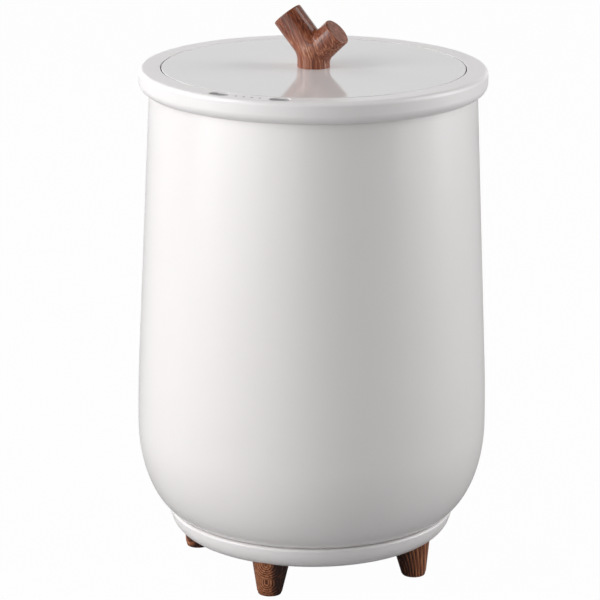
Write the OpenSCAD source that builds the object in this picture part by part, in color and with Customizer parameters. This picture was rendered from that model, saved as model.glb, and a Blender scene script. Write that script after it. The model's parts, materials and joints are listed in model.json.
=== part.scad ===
// Towel warmer bucket: a barrel-shaped body on four splayed wood feet, with a
// top ring that carries the controls and a flush lid lifted by a forked handle.
// Millimetres, +Z up, floor at z = 0, the controls face -Y.

/* [Body shell] */
// How far the belly stands out past the neck under the top ring
belly_w = 12.25; // [8:0.25:18]
// Height of the shell from the base's lip to the top ring
shell_h = 379; // [340:0.5:400]
// Height of the belly above the base's lip
belly_rise = 79.5; // [60:0.5:110]
// Height over which the belly turns into the straight taper
roll_h = 59; // [30:1:90]
// How far the lower curve would run on below the lip
hip_tuck = 3; // [1:0.5:10]
// Wall of the shell
shell_t = 2.5; // [1.5:0.1:3]

/* [Base] */
// How far the base's lip lies inside the belly
lip_tuck = 27.8; // [22:0.2:34]
// Height of the base
base_h = 21; // [19:0.5:26]
// How far the side of the base curves in towards its floor
base_curve = 18; // [12:0.5:20]
// Width of the lip round the shell
lip_t = 3.5; // [2.5:0.1:5]
// Floor of the base
pan_t = 2.6; // [2:0.1:4]
// Distance inside the lip of the screws that hold the shell to the base
base_screw_in = 23.2; // [20:0.2:28]

/* [Feet] */
// Height of the feet
foot_h = 30; // [24:0.5:45]
// Diameter of a foot at the top
foot_top_d = 32.6; // [26:0.2:34]
// Diameter of a foot at the bottom
foot_bottom_d = 20.4; // [18:0.2:26]
// Distance of the feet inside the lip, where they stand
foot_inset = 21.8; // [18:0.2:28]
// How far the feet splay outwards over their height
foot_splay = 3.5; // [0:0.5:8]
// Rounding of a foot's lower edge
foot_round = 2.8; // [1:0.1:4]
// Angle between the front foot and each side foot
side_foot_a = 81; // [75:1:90]
// Turn of all four feet from the middle of the controls
foot_turn_a = 2.6; // [0:0.2:6]

/* [Top ring] */
// Width of the top ring round the lid
ring_w = 18.6; // [16.8:0.2:24]
// Height of the top ring
ring_h = 20; // [19.5:0.5:28]
// Wall of the top ring
ring_t = 2.5; // [2:0.1:3]
// Rounding of the ring's upper edge
ring_round = 4; // [2.6:0.1:6]
// Depth of the shelf that the pot hangs on, below the top face
shelf_drop = 9; // [8:0.1:10]

/* [Pot and heater] */
// Inner diameter of the pot
pot_d = 244; // [215:1:275]
// Height of the pot's floor above the base's lip
pot_rise = 19.2; // [17:0.2:40]
// Wall of the pot
pot_t = 1.2; // [0.8:0.1:1.6]
// Corner radius at the pot's floor
pot_corner = 10; // [5:0.5:20]
// Height of the heating belt
belt_h = 140; // [90:1:200]
// Height of the belt's lower edge above the pot's floor
belt_rise = 30; // [15:1:60]
// Thickness of the heating belt
belt_t = 2; // [1:0.1:2.4]
// Open stretch between the belt's two ends, in degrees
belt_gap_a = 24; // [10:1:60]
// Width of a strap round the belt
strap_w = 12; // [8:1:20]
// Thickness of the insulation round the pot
wrap_t = 5.5; // [3:0.1:5.8]

/* [Lid and handle] */
// How far the lid reaches out past the pot's wall
lid_lap = 10; // [8.5:0.5:14]
// Gap round the lid
lid_gap = 0.9; // [0.5:0.1:1.2]
// Thickness of the lid's cover
cover_t = 2.8; // [2:0.1:3.2]
// Height of the cover's rim
rim_h = 5.2; // [4:0.1:6]
// Depth of the liner under the cover
liner_h = 12.2; // [10:0.1:20]
// Diameter of the handle's neck
neck_dia = 28.6; // [24:0.2:32]
// Diameter of the long arm
arm_a_d = 27.3; // [24:0.1:28]
// Length of the long arm from the neck's axis
arm_a_l = 39.2; // [34:0.2:46]
// Lean of the long arm from upright
arm_a_tilt = 40; // [30:1:50]
// Height of the long arm's root above the lid
arm_a_root = 14.4; // [12:0.2:18]
// Diameter of the short arm
arm_b_d = 25.8; // [22:0.1:27]
// Length of the short arm from the neck's axis
arm_b_l = 30.7; // [27:0.2:38]
// Lean of the short arm from upright
arm_b_tilt = 46; // [36:1:56]
// Height of the short arm's root above the lid
arm_b_root = 11.1; // [9:0.2:15]
// Rounding of the arms' ends
arm_round = 1.2; // [0.6:0.1:2]

/* [Controls] */
// Angle of each button from the front
button_a = 11.2; // [9.5:0.1:13]
// Length of a button along the ring
button_l = 17.6; // [14:0.2:18]
// Margin between a button and the inner wall of the ring's channel
cap_in = 0.6; // [0.5:0.1:2]
// Margin between a button and the outer wall of the ring's channel
cap_out = 2.2; // [0.8:0.1:3]
// Travel of a button
button_travel = 1; // [0.5:0.1:1.2]
// Angle between neighbouring indicator lights
light_step_a = 2.9; // [2:0.1:3]
// Diameter of an indicator light
light_d = 2.4; // [1.6:0.1:2.8]

/* [Power] */
// Diameter of the hole through the cord gland
cord_hole_d = 7.2; // [6:0.1:8]
// Diameter of the cord gland in the base's wall
gland_d = 11.6; // [10.4:0.1:12]
// Angle of the cord gland from the back
gland_a = 24; // [18:1:32]
// Length of the power board
board_l = 100; // [80:1:104]
// Width of the power board
board_w = 56; // [50:1:60]
// Height of the cushions under the pot
cushion_h = 10; // [9:0.5:12]

/* [Hidden] */

$fn = 96;
steps = 12;            // points along a curved stretch of an outline
fit_gap = 0.2;         // gap between pieces that are pushed together
seat_gap = 0.3;        // gap between moving pieces at rest
screw_d = 3;           // small screws throughout
screw_hole_d = 3.2;
screw_head_d = 6;
screw_head_h = 2.2;
board_t = 1.6;         // circuit boards
past = 1;              // how far a cutting tool runs past the face it cuts
bury = 0.5;            // how far a boss or shank runs into what it stands on

// Heights, from the floor up
base_z = foot_h;
lip_z = base_z + base_h;
floor_z = base_z + pan_t;
belly_z = lip_z + belly_rise;
shell_top = lip_z + shell_h;
top_z = shell_top + ring_h;
shelf_z = top_z - shelf_drop;
flange_top = shelf_z + pot_t;
pot_floor = lip_z + pot_rise;
pot_bottom = pot_floor - pot_t;
gland_over = 0.4;      // gap between the cord gland and the shell's end above it
gland_z = floor_z + gland_d / 2 + fit_gap;
spigot_z = gland_z + gland_d / 2 + fit_gap + gland_over;

// Radii, from the inside out
pot_play = 1;          // gap between the pot and the shelf it hangs on
flange_play = 2.4;     // gap between the pot's flange and the lid's seat
wrap_play = 0.7;       // gap between the insulation and the shell's neck
wrap_drop = 2;         // gap between the insulation and the shelf
pot_r = pot_d / 2;
pot_out = pot_r + pot_t;
belt_in = pot_out + fit_gap;
belt_out = belt_in + belt_t;
strap_t = 0.6;
strap_in = belt_out + fit_gap;
wrap_in = strap_in + strap_t + fit_gap;
wrap_out = wrap_in + wrap_t;
lid_r = pot_r + lid_lap;
seat_r = lid_r + lid_gap;
ring_r = seat_r + ring_w;
channel_in = seat_r + ring_t;
channel_out = ring_r - ring_t;
cable_d = 4;           // the cable to the controls, which passes between ring and shell
cable_play = 0.65;     // gap between that cable and the shell's wall
cable_r = channel_in + fit_gap + cable_d / 2;
neck_r = cable_r + cable_d / 2 + cable_play + shell_t;
neck_in = wrap_out + wrap_play;
body_r = neck_r + belly_w;
lip_r = body_r - lip_tuck;
mouth_r = lip_r - lip_t - fit_gap;
base_screw_r = lip_r - base_screw_in;
foot_stand_r = lip_r - foot_inset;
shelf_in = pot_out + pot_play;
pot_flange_r = seat_r - flange_play;

// The shell's outline: an ellipse below the belly, a parabola that rolls
// over it, then a straight taper up to the ring
hip_h = belly_rise + hip_tuck;
hip_w = (body_r - mouth_r) / (1 - sqrt(1 - pow(belly_rise / hip_h, 2)));
taper = (body_r - neck_r) / (shell_top - belly_z - roll_h / 2);
function hip_r(z) = body_r - hip_w * (1 - sqrt(1 - pow((belly_z - z) / hip_h, 2)));
function roll_r(z) = body_r - taper * pow(z - belly_z, 2) / (2 * roll_h);
hip_end_a = asin(belly_rise / hip_h);
hip_points = [
    for (i = [0:steps]) let (z = belly_z - hip_h * sin(hip_end_a * (1 - i / steps)))
    [hip_r(z), z]
];
roll_steps = steps / 2;
roll_points = [for (i = [1:roll_steps]) let (z = belly_z + roll_h * i / roll_steps) [roll_r(z), z]];
side_points = concat(hip_points, roll_points, [[neck_r, shell_top]]);

// Points of an arc about a centre, from one angle to another
function arc(c, rx, rz, from_a, to_a) = [
    for (i = [0:steps]) let (a = from_a + (to_a - from_a) * i / steps)
    [c[0] + rx * cos(a), c[1] + rz * sin(a)]
];
function inset(points, d) = [for (p = points) [p[0] - d, p[1]]];
function reversed(points) = [for (i = [len(points) - 1:-1:0]) points[i]];
function polar(r, a, z) = [r * sin(a), -r * cos(a), z];

// Feet
foot_as = [for (a = [0, side_foot_a, 180, -side_foot_a]) a + foot_turn_a];
foot_top_r = foot_stand_r - foot_splay;
foot_tilt = atan(foot_splay / foot_h);
pad_d = 14;
pad_t = 2;
pad_proud = 0.8;
stud_d = 6;
stud_hole_d = 6.2;
stud_in = 18;          // length of a stud inside the wood
nut_h = 5;
nut_af = 10;
foot_cope = 4;         // how far a foot reaches up round the curved base
stud_end = 2;          // length of a stud past its nut

// Base
ledge_w = 1;           // how much wider the ledge is than the shell's end
ledge_in = mouth_r - shell_t - ledge_w;
floor_r = foot_top_r + nut_af / cos(30) / 2 + fit_gap; // flat floor, out past the feet's nuts
pan_curve = ledge_in - floor_r;
boss_d = 9;
base_screw_as = [42, 138, -138, -42];
screw_land = 7;        // land of the shell's flange inside its screws' circle
flange_low_in = base_screw_r - screw_land;
recess_d = screw_head_d + 1;
recess_h = 3;
vent_r = 60;
vent_w = 3.2;
vent_l = 16;
vents = 12;

// Cord gland
gland_brim = 1.7;
gland_flange_d = gland_d + 2 * gland_brim;
gland_flange_y = lip_r;
gland_l = 14;          // length of the gland from the lip's radius inwards
gland_in_y = lip_r - gland_l;
gland_tail_l = 10;
gland_flange_t = 2;
gland_tail_t = 1.3;    // wall at the end of the gland's tail

// Heat shield and pot cushions
shield_t = 0.8;
shield_in = 8;         // how far the heat shield stays inside the pot's wall
shield_r = pot_r - shield_in;
shield_z = pot_bottom - cushion_h - shield_t;
shield_hole_d = 26;
shield_post_r = 88;
shield_as = [45, 135, -135, -45];
shield_screw_l = 7.5;
screw_room = 1.5;      // depth of a blind hole past its screw's end
cushion_r = 78;
cushion_d = 14;
cushion_as = [0, 90, 180, -90];

// Power board, behind the middle
board_y = 40;
board_lift = 6;
board_z = floor_z + board_lift;
parts_z = board_z + board_t;
board_hole_in = 5;
board_screw_l = 6;
board_xs = [-1, 1] * (board_l / 2 - board_hole_in);
board_ys = [board_y - board_w / 2 + board_hole_in, board_y + board_w / 2 - board_hole_in];
block_l = 22;
block_w = 9;
block_h = 9;
lead_a = 150;
block_r = 36;
block_at = [block_r * sin(lead_a), -block_r * cos(lead_a)];
coil_size = [26, 22, 13];
coil_at = [-22, board_y + 2];
relay_size = [19, 15.5, 14];
relay_at = [10, board_y + 8];

// Thermostat and fuse under the pot's floor
thermostat_d = 16;
thermostat_h = 7;
blade_size = [0.8, 6, 6];
blade_x = 4;
fuse_d = 4.5;
fuse_l = 26;
fuse_y = -44;
fuse_clip_w = 6;

// Controls
button_w = channel_out - cap_out - (channel_in + cap_in);
panel_r = channel_in + cap_in + button_w / 2;
cap_sink = 0.4;
cap_gap = 0.35;
dish_depth = 1.1;
ear_t = 1.2;
ear_w = 1.4;
ear_top = top_z - ring_t - seat_gap;
ear_z = ear_top - ear_t;
switch_size = 6.2;
switch_h = 3.6;
plunger_d = 3.2;
plunger_hole_d = 3.8;
plunger_in = 0.8;
travel_end = 0.4;      // room left under a cap at the end of its travel
switch_top = ear_z - button_travel - travel_end;
panel_top = switch_top - switch_h;
panel_z = panel_top - board_t;
panel_post_a = 19;
panel_end_a = 21.5;
panel_post_d = 5;
panel_screw_in = 4;    // length of a panel screw inside its post
panel_play = 0.8;      // gap between the control board and the ring's walls
socket_size = [12, 7, 5];
led_size = [2, 1.4, 0.8];
light_as = [for (i = [0:3]) (i - 1.5) * light_step_a];

// Ring posts and screws
ring_post_r = (neck_in + neck_r - shell_t) / 2;
ring_post_d = 6.5;
ring_post_as = [for (i = [0:5]) 30 + 60 * i];
neck_flange_top = shell_top + ring_t;
ring_screw_l = 10;

// Cable up the front, between the insulation and the shell, and the
// heater's lead, between the insulation and the pot
cable_hole_d = cable_d + 1;
cable_end_z = panel_z - socket_size[2];
lead_d = 2.4;
lead_r = (pot_out + wrap_in) / 2;
wire_sides = 12;

// Lid
cover_under = top_z - cover_t;
rim_t = 2.2;
seam_round = 0.6;
liner_play = 2;        // gap between the liner and the pot's wall
liner_r = pot_r - liner_play;
liner_t = 1.5;
liner_z = cover_under - liner_h;
liner_floor = liner_z + liner_t;
seal_out = 2.5;        // how far outside the pot's wall the seal starts
seal_play = 0.5;       // gap between the seal and the cover's rim
seal_in = pot_r + seal_out;
seal_w = lid_r - rim_t - seal_play - seal_in;
seal_z = flange_top + seat_gap;
lid_screw_r = 96;
lid_screw_as = [45, 135, 225, 315];
lid_boss_d = 8;
lid_screw_l = 8;
bolt_d = 6;
bolt_hole_d = 6.2;
bolt_in = 18;
bolt_head_d = 11;
bolt_head_h = 3.6;
washer_d = 16;
washer_t = 1.2;
washer_play = 1;       // gap between the washer and the insulation round it

white = [0.93, 0.92, 0.91];
walnut = [0.36, 0.18, 0.11];
grey = [0.35, 0.35, 0.36];
steel = [0.72, 0.73, 0.74];

// Puts its children at each angle round the axis, 0 at the front
module round_at(angles, r, z = 0) {
    for (a = angles) translate(polar(r, a, z)) rotate(a) children();
}

// A pan-head screw with its head below z = 0 and its shank above
module screw(l) {
    translate([0, 0, -screw_head_h]) cylinder(h = screw_head_h, d = screw_head_d);
    translate([0, 0, -screw_head_h / 2]) cylinder(h = l + screw_head_h / 2, d = screw_d);
}

// A ring of rectangular section
module band(r_in, r_out, z, h) {
    rotate_extrude() translate([r_in, z]) square([r_out - r_in, h]);
}

// An upright plate with round ends, lying along X
module oblong(l, w, h) {
    linear_extrude(h) {
        square([l - w, w], center = true);
        for (s = [-1, 1]) translate([s * (l - w) / 2, 0]) circle(d = w);
    }
}

// A wire that lies in the upright plane at angle a: its route is a list of
// [radius, height] points, and each ring of the tube halves the bend there
module wire(a, route, d) {
    last = len(route) - 1;
    runs = [for (i = [0:last - 1]) (route[i + 1] - route[i]) / norm(route[i + 1] - route[i])];
    ways = [for (i = [0:last]) runs[max(i - 1, 0)] + runs[min(i, last - 1)]];
    rings = [
        for (i = [0:last], k = [0:wire_sides - 1])
        let (
            t = ways[i] / norm(ways[i]),
            spread = d / 2 * sin(360 * k / wire_sides) / (t * runs[min(i, last - 1)]),
            p = route[i] + spread * [-t[1], t[0]]
        )
        [d / 2 * cos(360 * k / wire_sides), -p[0], p[1]]
    ];
    sides = [
        for (i = [0:last - 1], k = [0:wire_sides - 1])
        let (n = (k + 1) % wire_sides, low = i * wire_sides, high = low + wire_sides)
        [low + k, low + n, high + n, high + k]
    ];
    ends = [[for (k = [wire_sides - 1:-1:0]) k], [for (k = [0:wire_sides - 1]) last * wire_sides + k]];
    rotate(a) polyhedron(rings, concat(sides, ends));
}

// Outside of the base, which the feet are coped to
module base_outside() {
    rotate_extrude() polygon(concat(
        [[0, lip_z], [0, base_z]],
        reversed(arc([lip_r - base_curve, lip_z], base_curve, base_h, 0, -90))
    ));
}

// One tapered foot, leaning outwards, cut flat where it stands
module foot(a) {
    slope = (foot_top_d - foot_bottom_d) / 2 / foot_h;
    reach = foot_h + foot_cope;
    tall = reach + foot_cope;
    start = -foot_bottom_d / 2 * tan(foot_tilt);
    low_r = foot_bottom_d / 2;
    color(walnut) rotate(a) difference() {
        intersection() {
            translate([0, -foot_stand_r, 0]) rotate([-foot_tilt, 0, 0]) translate([0, 0, start])
                rotate_extrude() polygon(concat(
                    [[0, 0]],
                    arc([low_r - foot_round, foot_round], foot_round, foot_round, -90, 0),
                    [[low_r + slope * tall, tall], [0, tall]]
                ));
            translate([-foot_top_d, -foot_stand_r - foot_top_d, pad_proud])
                cube([2 * foot_top_d, 2 * foot_top_d, reach - pad_proud]);
        }
        base_outside();
        translate([0, -foot_stand_r, -past]) cylinder(h = pad_t + past, d = pad_d + 2 * fit_gap);
        translate([0, -foot_top_r, foot_h - stud_in - past])
            cylinder(h = stud_in + foot_cope + 2 * past, d = stud_hole_d);
    }
}

module foot_front() { foot(foot_as[0]); }
module foot_right() { foot(foot_as[1]); }
module foot_back() { foot(foot_as[2]); }
module foot_left() { foot(foot_as[3]); }

module foot_pads() {
    color([0.12, 0.12, 0.12]) round_at(foot_as, foot_stand_r) cylinder(h = pad_t, d = pad_d);
}

module foot_studs() {
    color(steel) round_at(foot_as, foot_top_r, foot_h - stud_in)
        cylinder(h = stud_in + pan_t + nut_h + stud_end, d = stud_d);
}

module foot_nuts() {
    color(steel) round_at(foot_as, foot_top_r, floor_z) difference() {
        cylinder(h = nut_h, d = nut_af / cos(30), $fn = 6);
        translate([0, 0, -past]) cylinder(h = nut_h + 2 * past, d = stud_hole_d);
    }
}

// The shallow base with its curved side, bosses, posts and vents
module base_pan() {
    gland_from = floor_r - past;
    color(white) difference() {
        union() {
            rotate_extrude() polygon(concat(
                [[0, floor_z], [0, base_z]],
                reversed(arc([lip_r - base_curve, lip_z], base_curve, base_h, 0, -90)),
                [[lip_r - lip_t, lip_z], [lip_r - lip_t, spigot_z]],
                arc([floor_r, spigot_z], pan_curve, spigot_z - floor_z, 0, -90)
            ));
            round_at(base_screw_as, base_screw_r, floor_z - bury)
                cylinder(h = spigot_z - floor_z + bury, d = boss_d);
            round_at(shield_as, shield_post_r, floor_z - bury)
                cylinder(h = shield_z - floor_z + bury, d = boss_d);
            for (x = board_xs, y = board_ys) translate([x, y, floor_z - bury])
                cylinder(h = board_lift + bury, d = boss_d);
        }
        round_at(base_screw_as, base_screw_r, base_z - past) {
            cylinder(h = base_h, d = screw_hole_d);
            cylinder(h = recess_h + past, d = recess_d);
        }
        round_at(shield_as, shield_post_r, shield_z - shield_screw_l - screw_room)
            cylinder(h = shield_screw_l + screw_room + past, d = screw_hole_d);
        for (x = board_xs, y = board_ys) translate([x, y, floor_z])
            cylinder(h = board_lift + past, d = screw_hole_d);
        round_at(foot_as, foot_top_r, base_z - past) cylinder(h = pan_t + 2 * past, d = stud_hole_d);
        rotate(180 + gland_a) translate([0, -gland_from, gland_z]) rotate([90, 0, 0])
            cylinder(h = lip_r, d = gland_d + 2 * fit_gap);
        for (i = [0:vents - 1]) rotate(i * 360 / vents) translate([0, -vent_r, base_z - past])
            rotate(90) oblong(vent_l, vent_w, pan_t + 2 * past);
    }
}

module base_screws() {
    color(steel) round_at(base_screw_as, base_screw_r, base_z + recess_h)
        screw(spigot_z + shell_t - base_z - recess_h);
}

// Rubber gland in the base's back wall, with a ribbed tail round the cord hole
module cord_gland() {
    color([0.15, 0.15, 0.15]) rotate(180 + gland_a) translate([0, 0, gland_z]) rotate([90, 0, 0])
        difference() {
            union() {
                translate([0, 0, gland_in_y]) cylinder(h = gland_flange_y - gland_in_y, d = gland_d);
                translate([0, 0, gland_flange_y]) cylinder(h = gland_flange_t, d = gland_flange_d);
                translate([0, 0, gland_flange_y]) cylinder(
                    h = gland_flange_t + gland_tail_l, d1 = gland_d, d2 = cord_hole_d + 2 * gland_tail_t);
            }
            translate([0, 0, gland_in_y - past])
                cylinder(h = gland_l + gland_flange_t + gland_tail_l + 2 * past, d = cord_hole_d);
        }
}

module outer_shell() {
    color(white) difference() {
        rotate_extrude() polygon(concat(
            side_points,
            [[neck_r, neck_flange_top], [neck_in, neck_flange_top], [neck_in, shell_top]],
            [[neck_r - shell_t, shell_top]],
            reversed(inset(concat(hip_points, roll_points), shell_t)),
            [[mouth_r - shell_t, spigot_z + shell_t], [flange_low_in, spigot_z + shell_t]],
            [[flange_low_in, spigot_z], [mouth_r, spigot_z]]
        ));
        round_at(base_screw_as, base_screw_r, spigot_z - past)
            cylinder(h = shell_t + 2 * past, d = screw_hole_d);
        round_at(ring_post_as, ring_post_r, shell_top - past)
            cylinder(h = ring_t + 2 * past, d = screw_hole_d);
        translate(polar(cable_r, 0, shell_top - past)) cylinder(h = ring_t + 2 * past, d = cable_hole_d);
    }
}

// Top ring: a hollow channel that rolls in to the shell below, with the
// lid's seat and the pot's shelf on its inner side
module rim_ring() {
    roll = ring_r - neck_r - fit_gap;
    roll_c = [neck_r + fit_gap, shell_top + roll];
    edge_c = [ring_r - ring_round, top_z - ring_round];
    color(white) difference() {
        union() {
            rotate_extrude() polygon(concat(
                arc(roll_c, roll, roll, -90, 0),
                arc(edge_c, ring_round, ring_round, 0, 90),
                arc([seat_r + seam_round, top_z - seam_round], seam_round, seam_round, 90, 180),
                [[seat_r, shelf_z], [shelf_in, shelf_z], [shelf_in, shelf_z - ring_t]],
                [[channel_in, shelf_z - ring_t], [channel_in, top_z - ring_t]],
                reversed(arc(edge_c, ring_round - ring_t, ring_round - ring_t, 0, 90)),
                reversed(arc(roll_c, roll - ring_t, roll - ring_t, -90, 0))
            ));
            round_at(ring_post_as, ring_post_r, neck_flange_top)
                cylinder(h = top_z - ring_t / 2 - neck_flange_top, d = ring_post_d);
            round_at([-panel_post_a, panel_post_a], panel_r, panel_top)
                cylinder(h = top_z - ring_t / 2 - panel_top, d = panel_post_d);
        }
        round_at(ring_post_as, ring_post_r, neck_flange_top - past)
            cylinder(h = ring_screw_l + past, d = screw_hole_d);
        round_at([-panel_post_a, panel_post_a], panel_r, panel_top - past)
            cylinder(h = panel_screw_in + screw_room + past, d = screw_hole_d);
        round_at([-button_a, button_a], panel_r, top_z - ring_t - past)
            oblong(button_l + 2 * cap_gap, button_w + 2 * cap_gap, ring_t + 2 * past);
        round_at(light_as, panel_r, top_z - ring_t - past)
            cylinder(h = ring_t + 2 * past, d = light_d + fit_gap);
    }
}

module ring_screws() {
    color(steel) round_at(ring_post_as, ring_post_r, shell_top) screw(ring_screw_l);
}

module inner_pot() {
    corner = [pot_r - pot_corner, pot_floor + pot_corner];
    color([0.78, 0.78, 0.79]) rotate_extrude() polygon(concat(
        [[0, pot_floor], [0, pot_bottom]],
        arc(corner, pot_corner + pot_t, pot_corner + pot_t, -90, 0),
        [[pot_out, shelf_z], [pot_flange_r, shelf_z], [pot_flange_r, flange_top], [pot_r, flange_top]],
        reversed(arc(corner, pot_corner, pot_corner, -90, 0))
    ));
}

module pot_cushions() {
    color([0.75, 0.3, 0.2]) round_at(cushion_as, cushion_r, shield_z + shield_t)
        cylinder(h = cushion_h, d = cushion_d);
}

module heat_shield() {
    color(steel) difference() {
        translate([0, 0, shield_z]) cylinder(h = shield_t, r = shield_r);
        translate([0, 0, shield_z - past]) cylinder(h = shield_t + 2 * past, d = shield_hole_d);
        round_at(shield_as, shield_post_r, shield_z - past)
            cylinder(h = shield_t + 2 * past, d = screw_hole_d);
    }
}

module shield_screws() {
    color(steel) round_at(shield_as, shield_post_r, shield_z + shield_t)
        mirror([0, 0, 1]) screw(shield_screw_l);
}

// Silicone heating belt round the lower half of the pot, open at the back
module heating_belt() {
    color([0.8, 0.35, 0.15]) rotate(90 + belt_gap_a / 2) rotate_extrude(angle = 360 - belt_gap_a)
        translate([belt_in, pot_floor + belt_rise]) square([belt_t, belt_h]);
}

module belt_straps() {
    color(steel) for (s = [0.2, 0.8])
        band(strap_in, strap_in + strap_t, pot_floor + belt_rise + s * belt_h - strap_w / 2, strap_w);
}

module insulation_wrap() {
    low = pot_floor + pot_corner;
    high = shelf_z - ring_t - wrap_drop;
    color([0.9, 0.87, 0.75]) band(wrap_in, wrap_out, low, high - low);
}

// Disc thermostat under the middle of the pot, with two blade terminals
module thermostat() {
    color([0.2, 0.18, 0.16]) {
        translate([0, 0, pot_bottom - thermostat_h]) cylinder(h = thermostat_h, d = thermostat_d);
        for (s = [-1, 1])
            translate([s * blade_x, 0, pot_bottom - thermostat_h - blade_size[2] / 2 + bury])
                cube(blade_size, center = true);
    }
}

module thermal_fuse() {
    color([0.85, 0.85, 0.8]) translate([0, fuse_y, pot_bottom]) {
        translate([-fuse_l / 2, 0, -fuse_d / 2 - fit_gap]) rotate([0, 90, 0])
            cylinder(h = fuse_l, d = fuse_d);
        for (s = [-1, 1]) translate([s * fuse_l / 4 - fuse_clip_w / 2, -fuse_d, -fuse_d - 2 * fit_gap])
            cube([fuse_clip_w, 2 * fuse_d, fuse_d + 2 * fit_gap]);
    }
}

module power_board() {
    color([0.1, 0.35, 0.2]) difference() {
        translate([-board_l / 2, board_y - board_w / 2, board_z]) cube([board_l, board_w, board_t]);
        for (x = board_xs, y = board_ys) translate([x, y, board_z - past])
            cylinder(h = board_t + 2 * past, d = screw_hole_d);
    }
}

module board_screws() {
    color(steel) for (x = board_xs, y = board_ys) translate([x, y, parts_z])
        mirror([0, 0, 1]) screw(board_screw_l);
}

module block(at, size) {
    translate([at[0] - size[0] / 2, at[1] - size[1] / 2, parts_z]) cube(size);
}

module transformer() {
    color([0.9, 0.8, 0.3]) block(coil_at, coil_size);
}

module relay() {
    color([0.15, 0.3, 0.6]) block(relay_at, relay_size);
}

module terminal_block() {
    color([0.2, 0.5, 0.3]) block(block_at, [block_l, block_w, block_h]);
}

// Lead from the terminal block up past the pot's edge to the belt
module heater_lead() {
    under = shield_z - 3;
    color([0.8, 0.15, 0.1]) wire(lead_a, [
        [block_r, parts_z + block_h],
        [block_r, under],
        [shield_r + 5, under],
        [lead_r, pot_bottom + 1],
        [lead_r, pot_floor + belt_rise]
    ], lead_d);
}

// Cable from the power board up the front to the controls
module control_cable() {
    board_mid = board_z + board_t / 2;
    over_flange = spigot_z + shell_t + 2 * cable_d;
    color([0.2, 0.2, 0.22]) wire(0, [
        [board_w / 2 - board_y, board_mid],
        [flange_low_in - 22, board_mid],
        [flange_low_in, over_flange - cable_d],
        [mouth_r - 5.5, over_flange - cable_d / 2],
        [mouth_r + 2.5, over_flange + 1.2 * cable_d],
        [cable_r, over_flange + 4.6 * cable_d],
        [cable_r, cable_end_z]
    ], cable_d);
}

// Curved board under the buttons
module control_board() {
    color([0.1, 0.35, 0.2]) difference() {
        rotate(-90 - panel_end_a) rotate_extrude(angle = 2 * panel_end_a)
            translate([channel_in + panel_play, panel_z])
                square([channel_out - channel_in - 2 * panel_play, board_t]);
        round_at([-panel_post_a, panel_post_a], panel_r, panel_z - past)
            cylinder(h = board_t + 2 * past, d = screw_hole_d);
    }
}

module cable_socket() {
    color([0.92, 0.92, 0.88])
        translate([-socket_size[0] / 2, -channel_in - fit_gap - socket_size[1], cable_end_z])
            cube(socket_size);
}

module panel_screws() {
    color(steel) round_at([-panel_post_a, panel_post_a], panel_r, panel_z) screw(board_t + panel_screw_in);
}

module key_switches() {
    color(grey) round_at([-button_a, button_a], panel_r, panel_top) difference() {
        translate([-switch_size / 2, -switch_size / 2, 0]) cube([switch_size, switch_size, switch_h]);
        translate([0, 0, switch_h - plunger_in - button_travel - travel_end])
            cylinder(h = switch_h, d = plunger_hole_d);
    }
}

module indicator_leds() {
    color([1, 0.95, 0.8]) round_at(light_as, panel_r, panel_top)
        translate([-led_size[0] / 2, -led_size[1] / 2, 0]) cube(led_size);
}

module light_pipes() {
    color([0.95, 0.95, 0.95]) round_at(light_as, panel_r, panel_top + led_size[2] + fit_gap)
        cylinder(h = top_z - panel_top - led_size[2] - fit_gap, d = light_d);
}

// A dished cap with two ears that hold it under the ring and a plunger
module button_cap(a) {
    cap_top = top_z - cap_sink;
    dish_r = (pow(button_l / 2, 2) + pow(dish_depth, 2)) / (2 * dish_depth);
    color(grey) translate(polar(panel_r, a, 0)) rotate(a) difference() {
        union() {
            translate([0, 0, ear_z]) oblong(button_l, button_w, cap_top - ear_z);
            translate([0, 0, ear_z]) intersection() {
                oblong(button_l + 2 * ear_w, button_w, ear_t);
                translate([-button_l, -button_w / 4, -past])
                    cube([2 * button_l, button_w / 2, ear_t + 2 * past]);
            }
            translate([0, 0, switch_top - plunger_in])
                cylinder(h = ear_z - switch_top + plunger_in + bury, d = plunger_d);
        }
        translate([0, 0, cap_top + dish_r - dish_depth]) sphere(r = dish_r, $fn = 180);
    }
}

module power_button() { button_cap(-button_a); }
module timer_button() { button_cap(button_a); }

// Flush lid cover with a short rim and bosses for the liner's screws
module lid_cover() {
    color(white) difference() {
        union() {
            rotate_extrude() polygon(concat(
                [[0, cover_under], [lid_r - rim_t, cover_under]],
                [[lid_r - rim_t, top_z - rim_h], [lid_r, top_z - rim_h]],
                arc([lid_r - seam_round, top_z - seam_round], seam_round, seam_round, 0, 90),
                [[0, top_z]]
            ));
            round_at(lid_screw_as, lid_screw_r, liner_floor)
                cylinder(h = cover_under - liner_floor + bury, d = lid_boss_d);
        }
        translate([0, 0, cover_under - past]) cylinder(h = cover_t + 2 * past, d = bolt_hole_d);
        round_at(lid_screw_as, lid_screw_r, liner_floor - past)
            cylinder(h = lid_screw_l + past, d = screw_hole_d);
    }
}

module lid_liner() {
    color([0.85, 0.85, 0.86]) difference() {
        rotate_extrude() polygon([
            [0, liner_z], [liner_r, liner_z], [liner_r, cover_under],
            [liner_r - liner_t, cover_under], [liner_r - liner_t, liner_floor], [0, liner_floor]
        ]);
        round_at(lid_screw_as, lid_screw_r, liner_z - past)
            cylinder(h = liner_t + 2 * past, d = screw_hole_d);
    }
}

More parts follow.
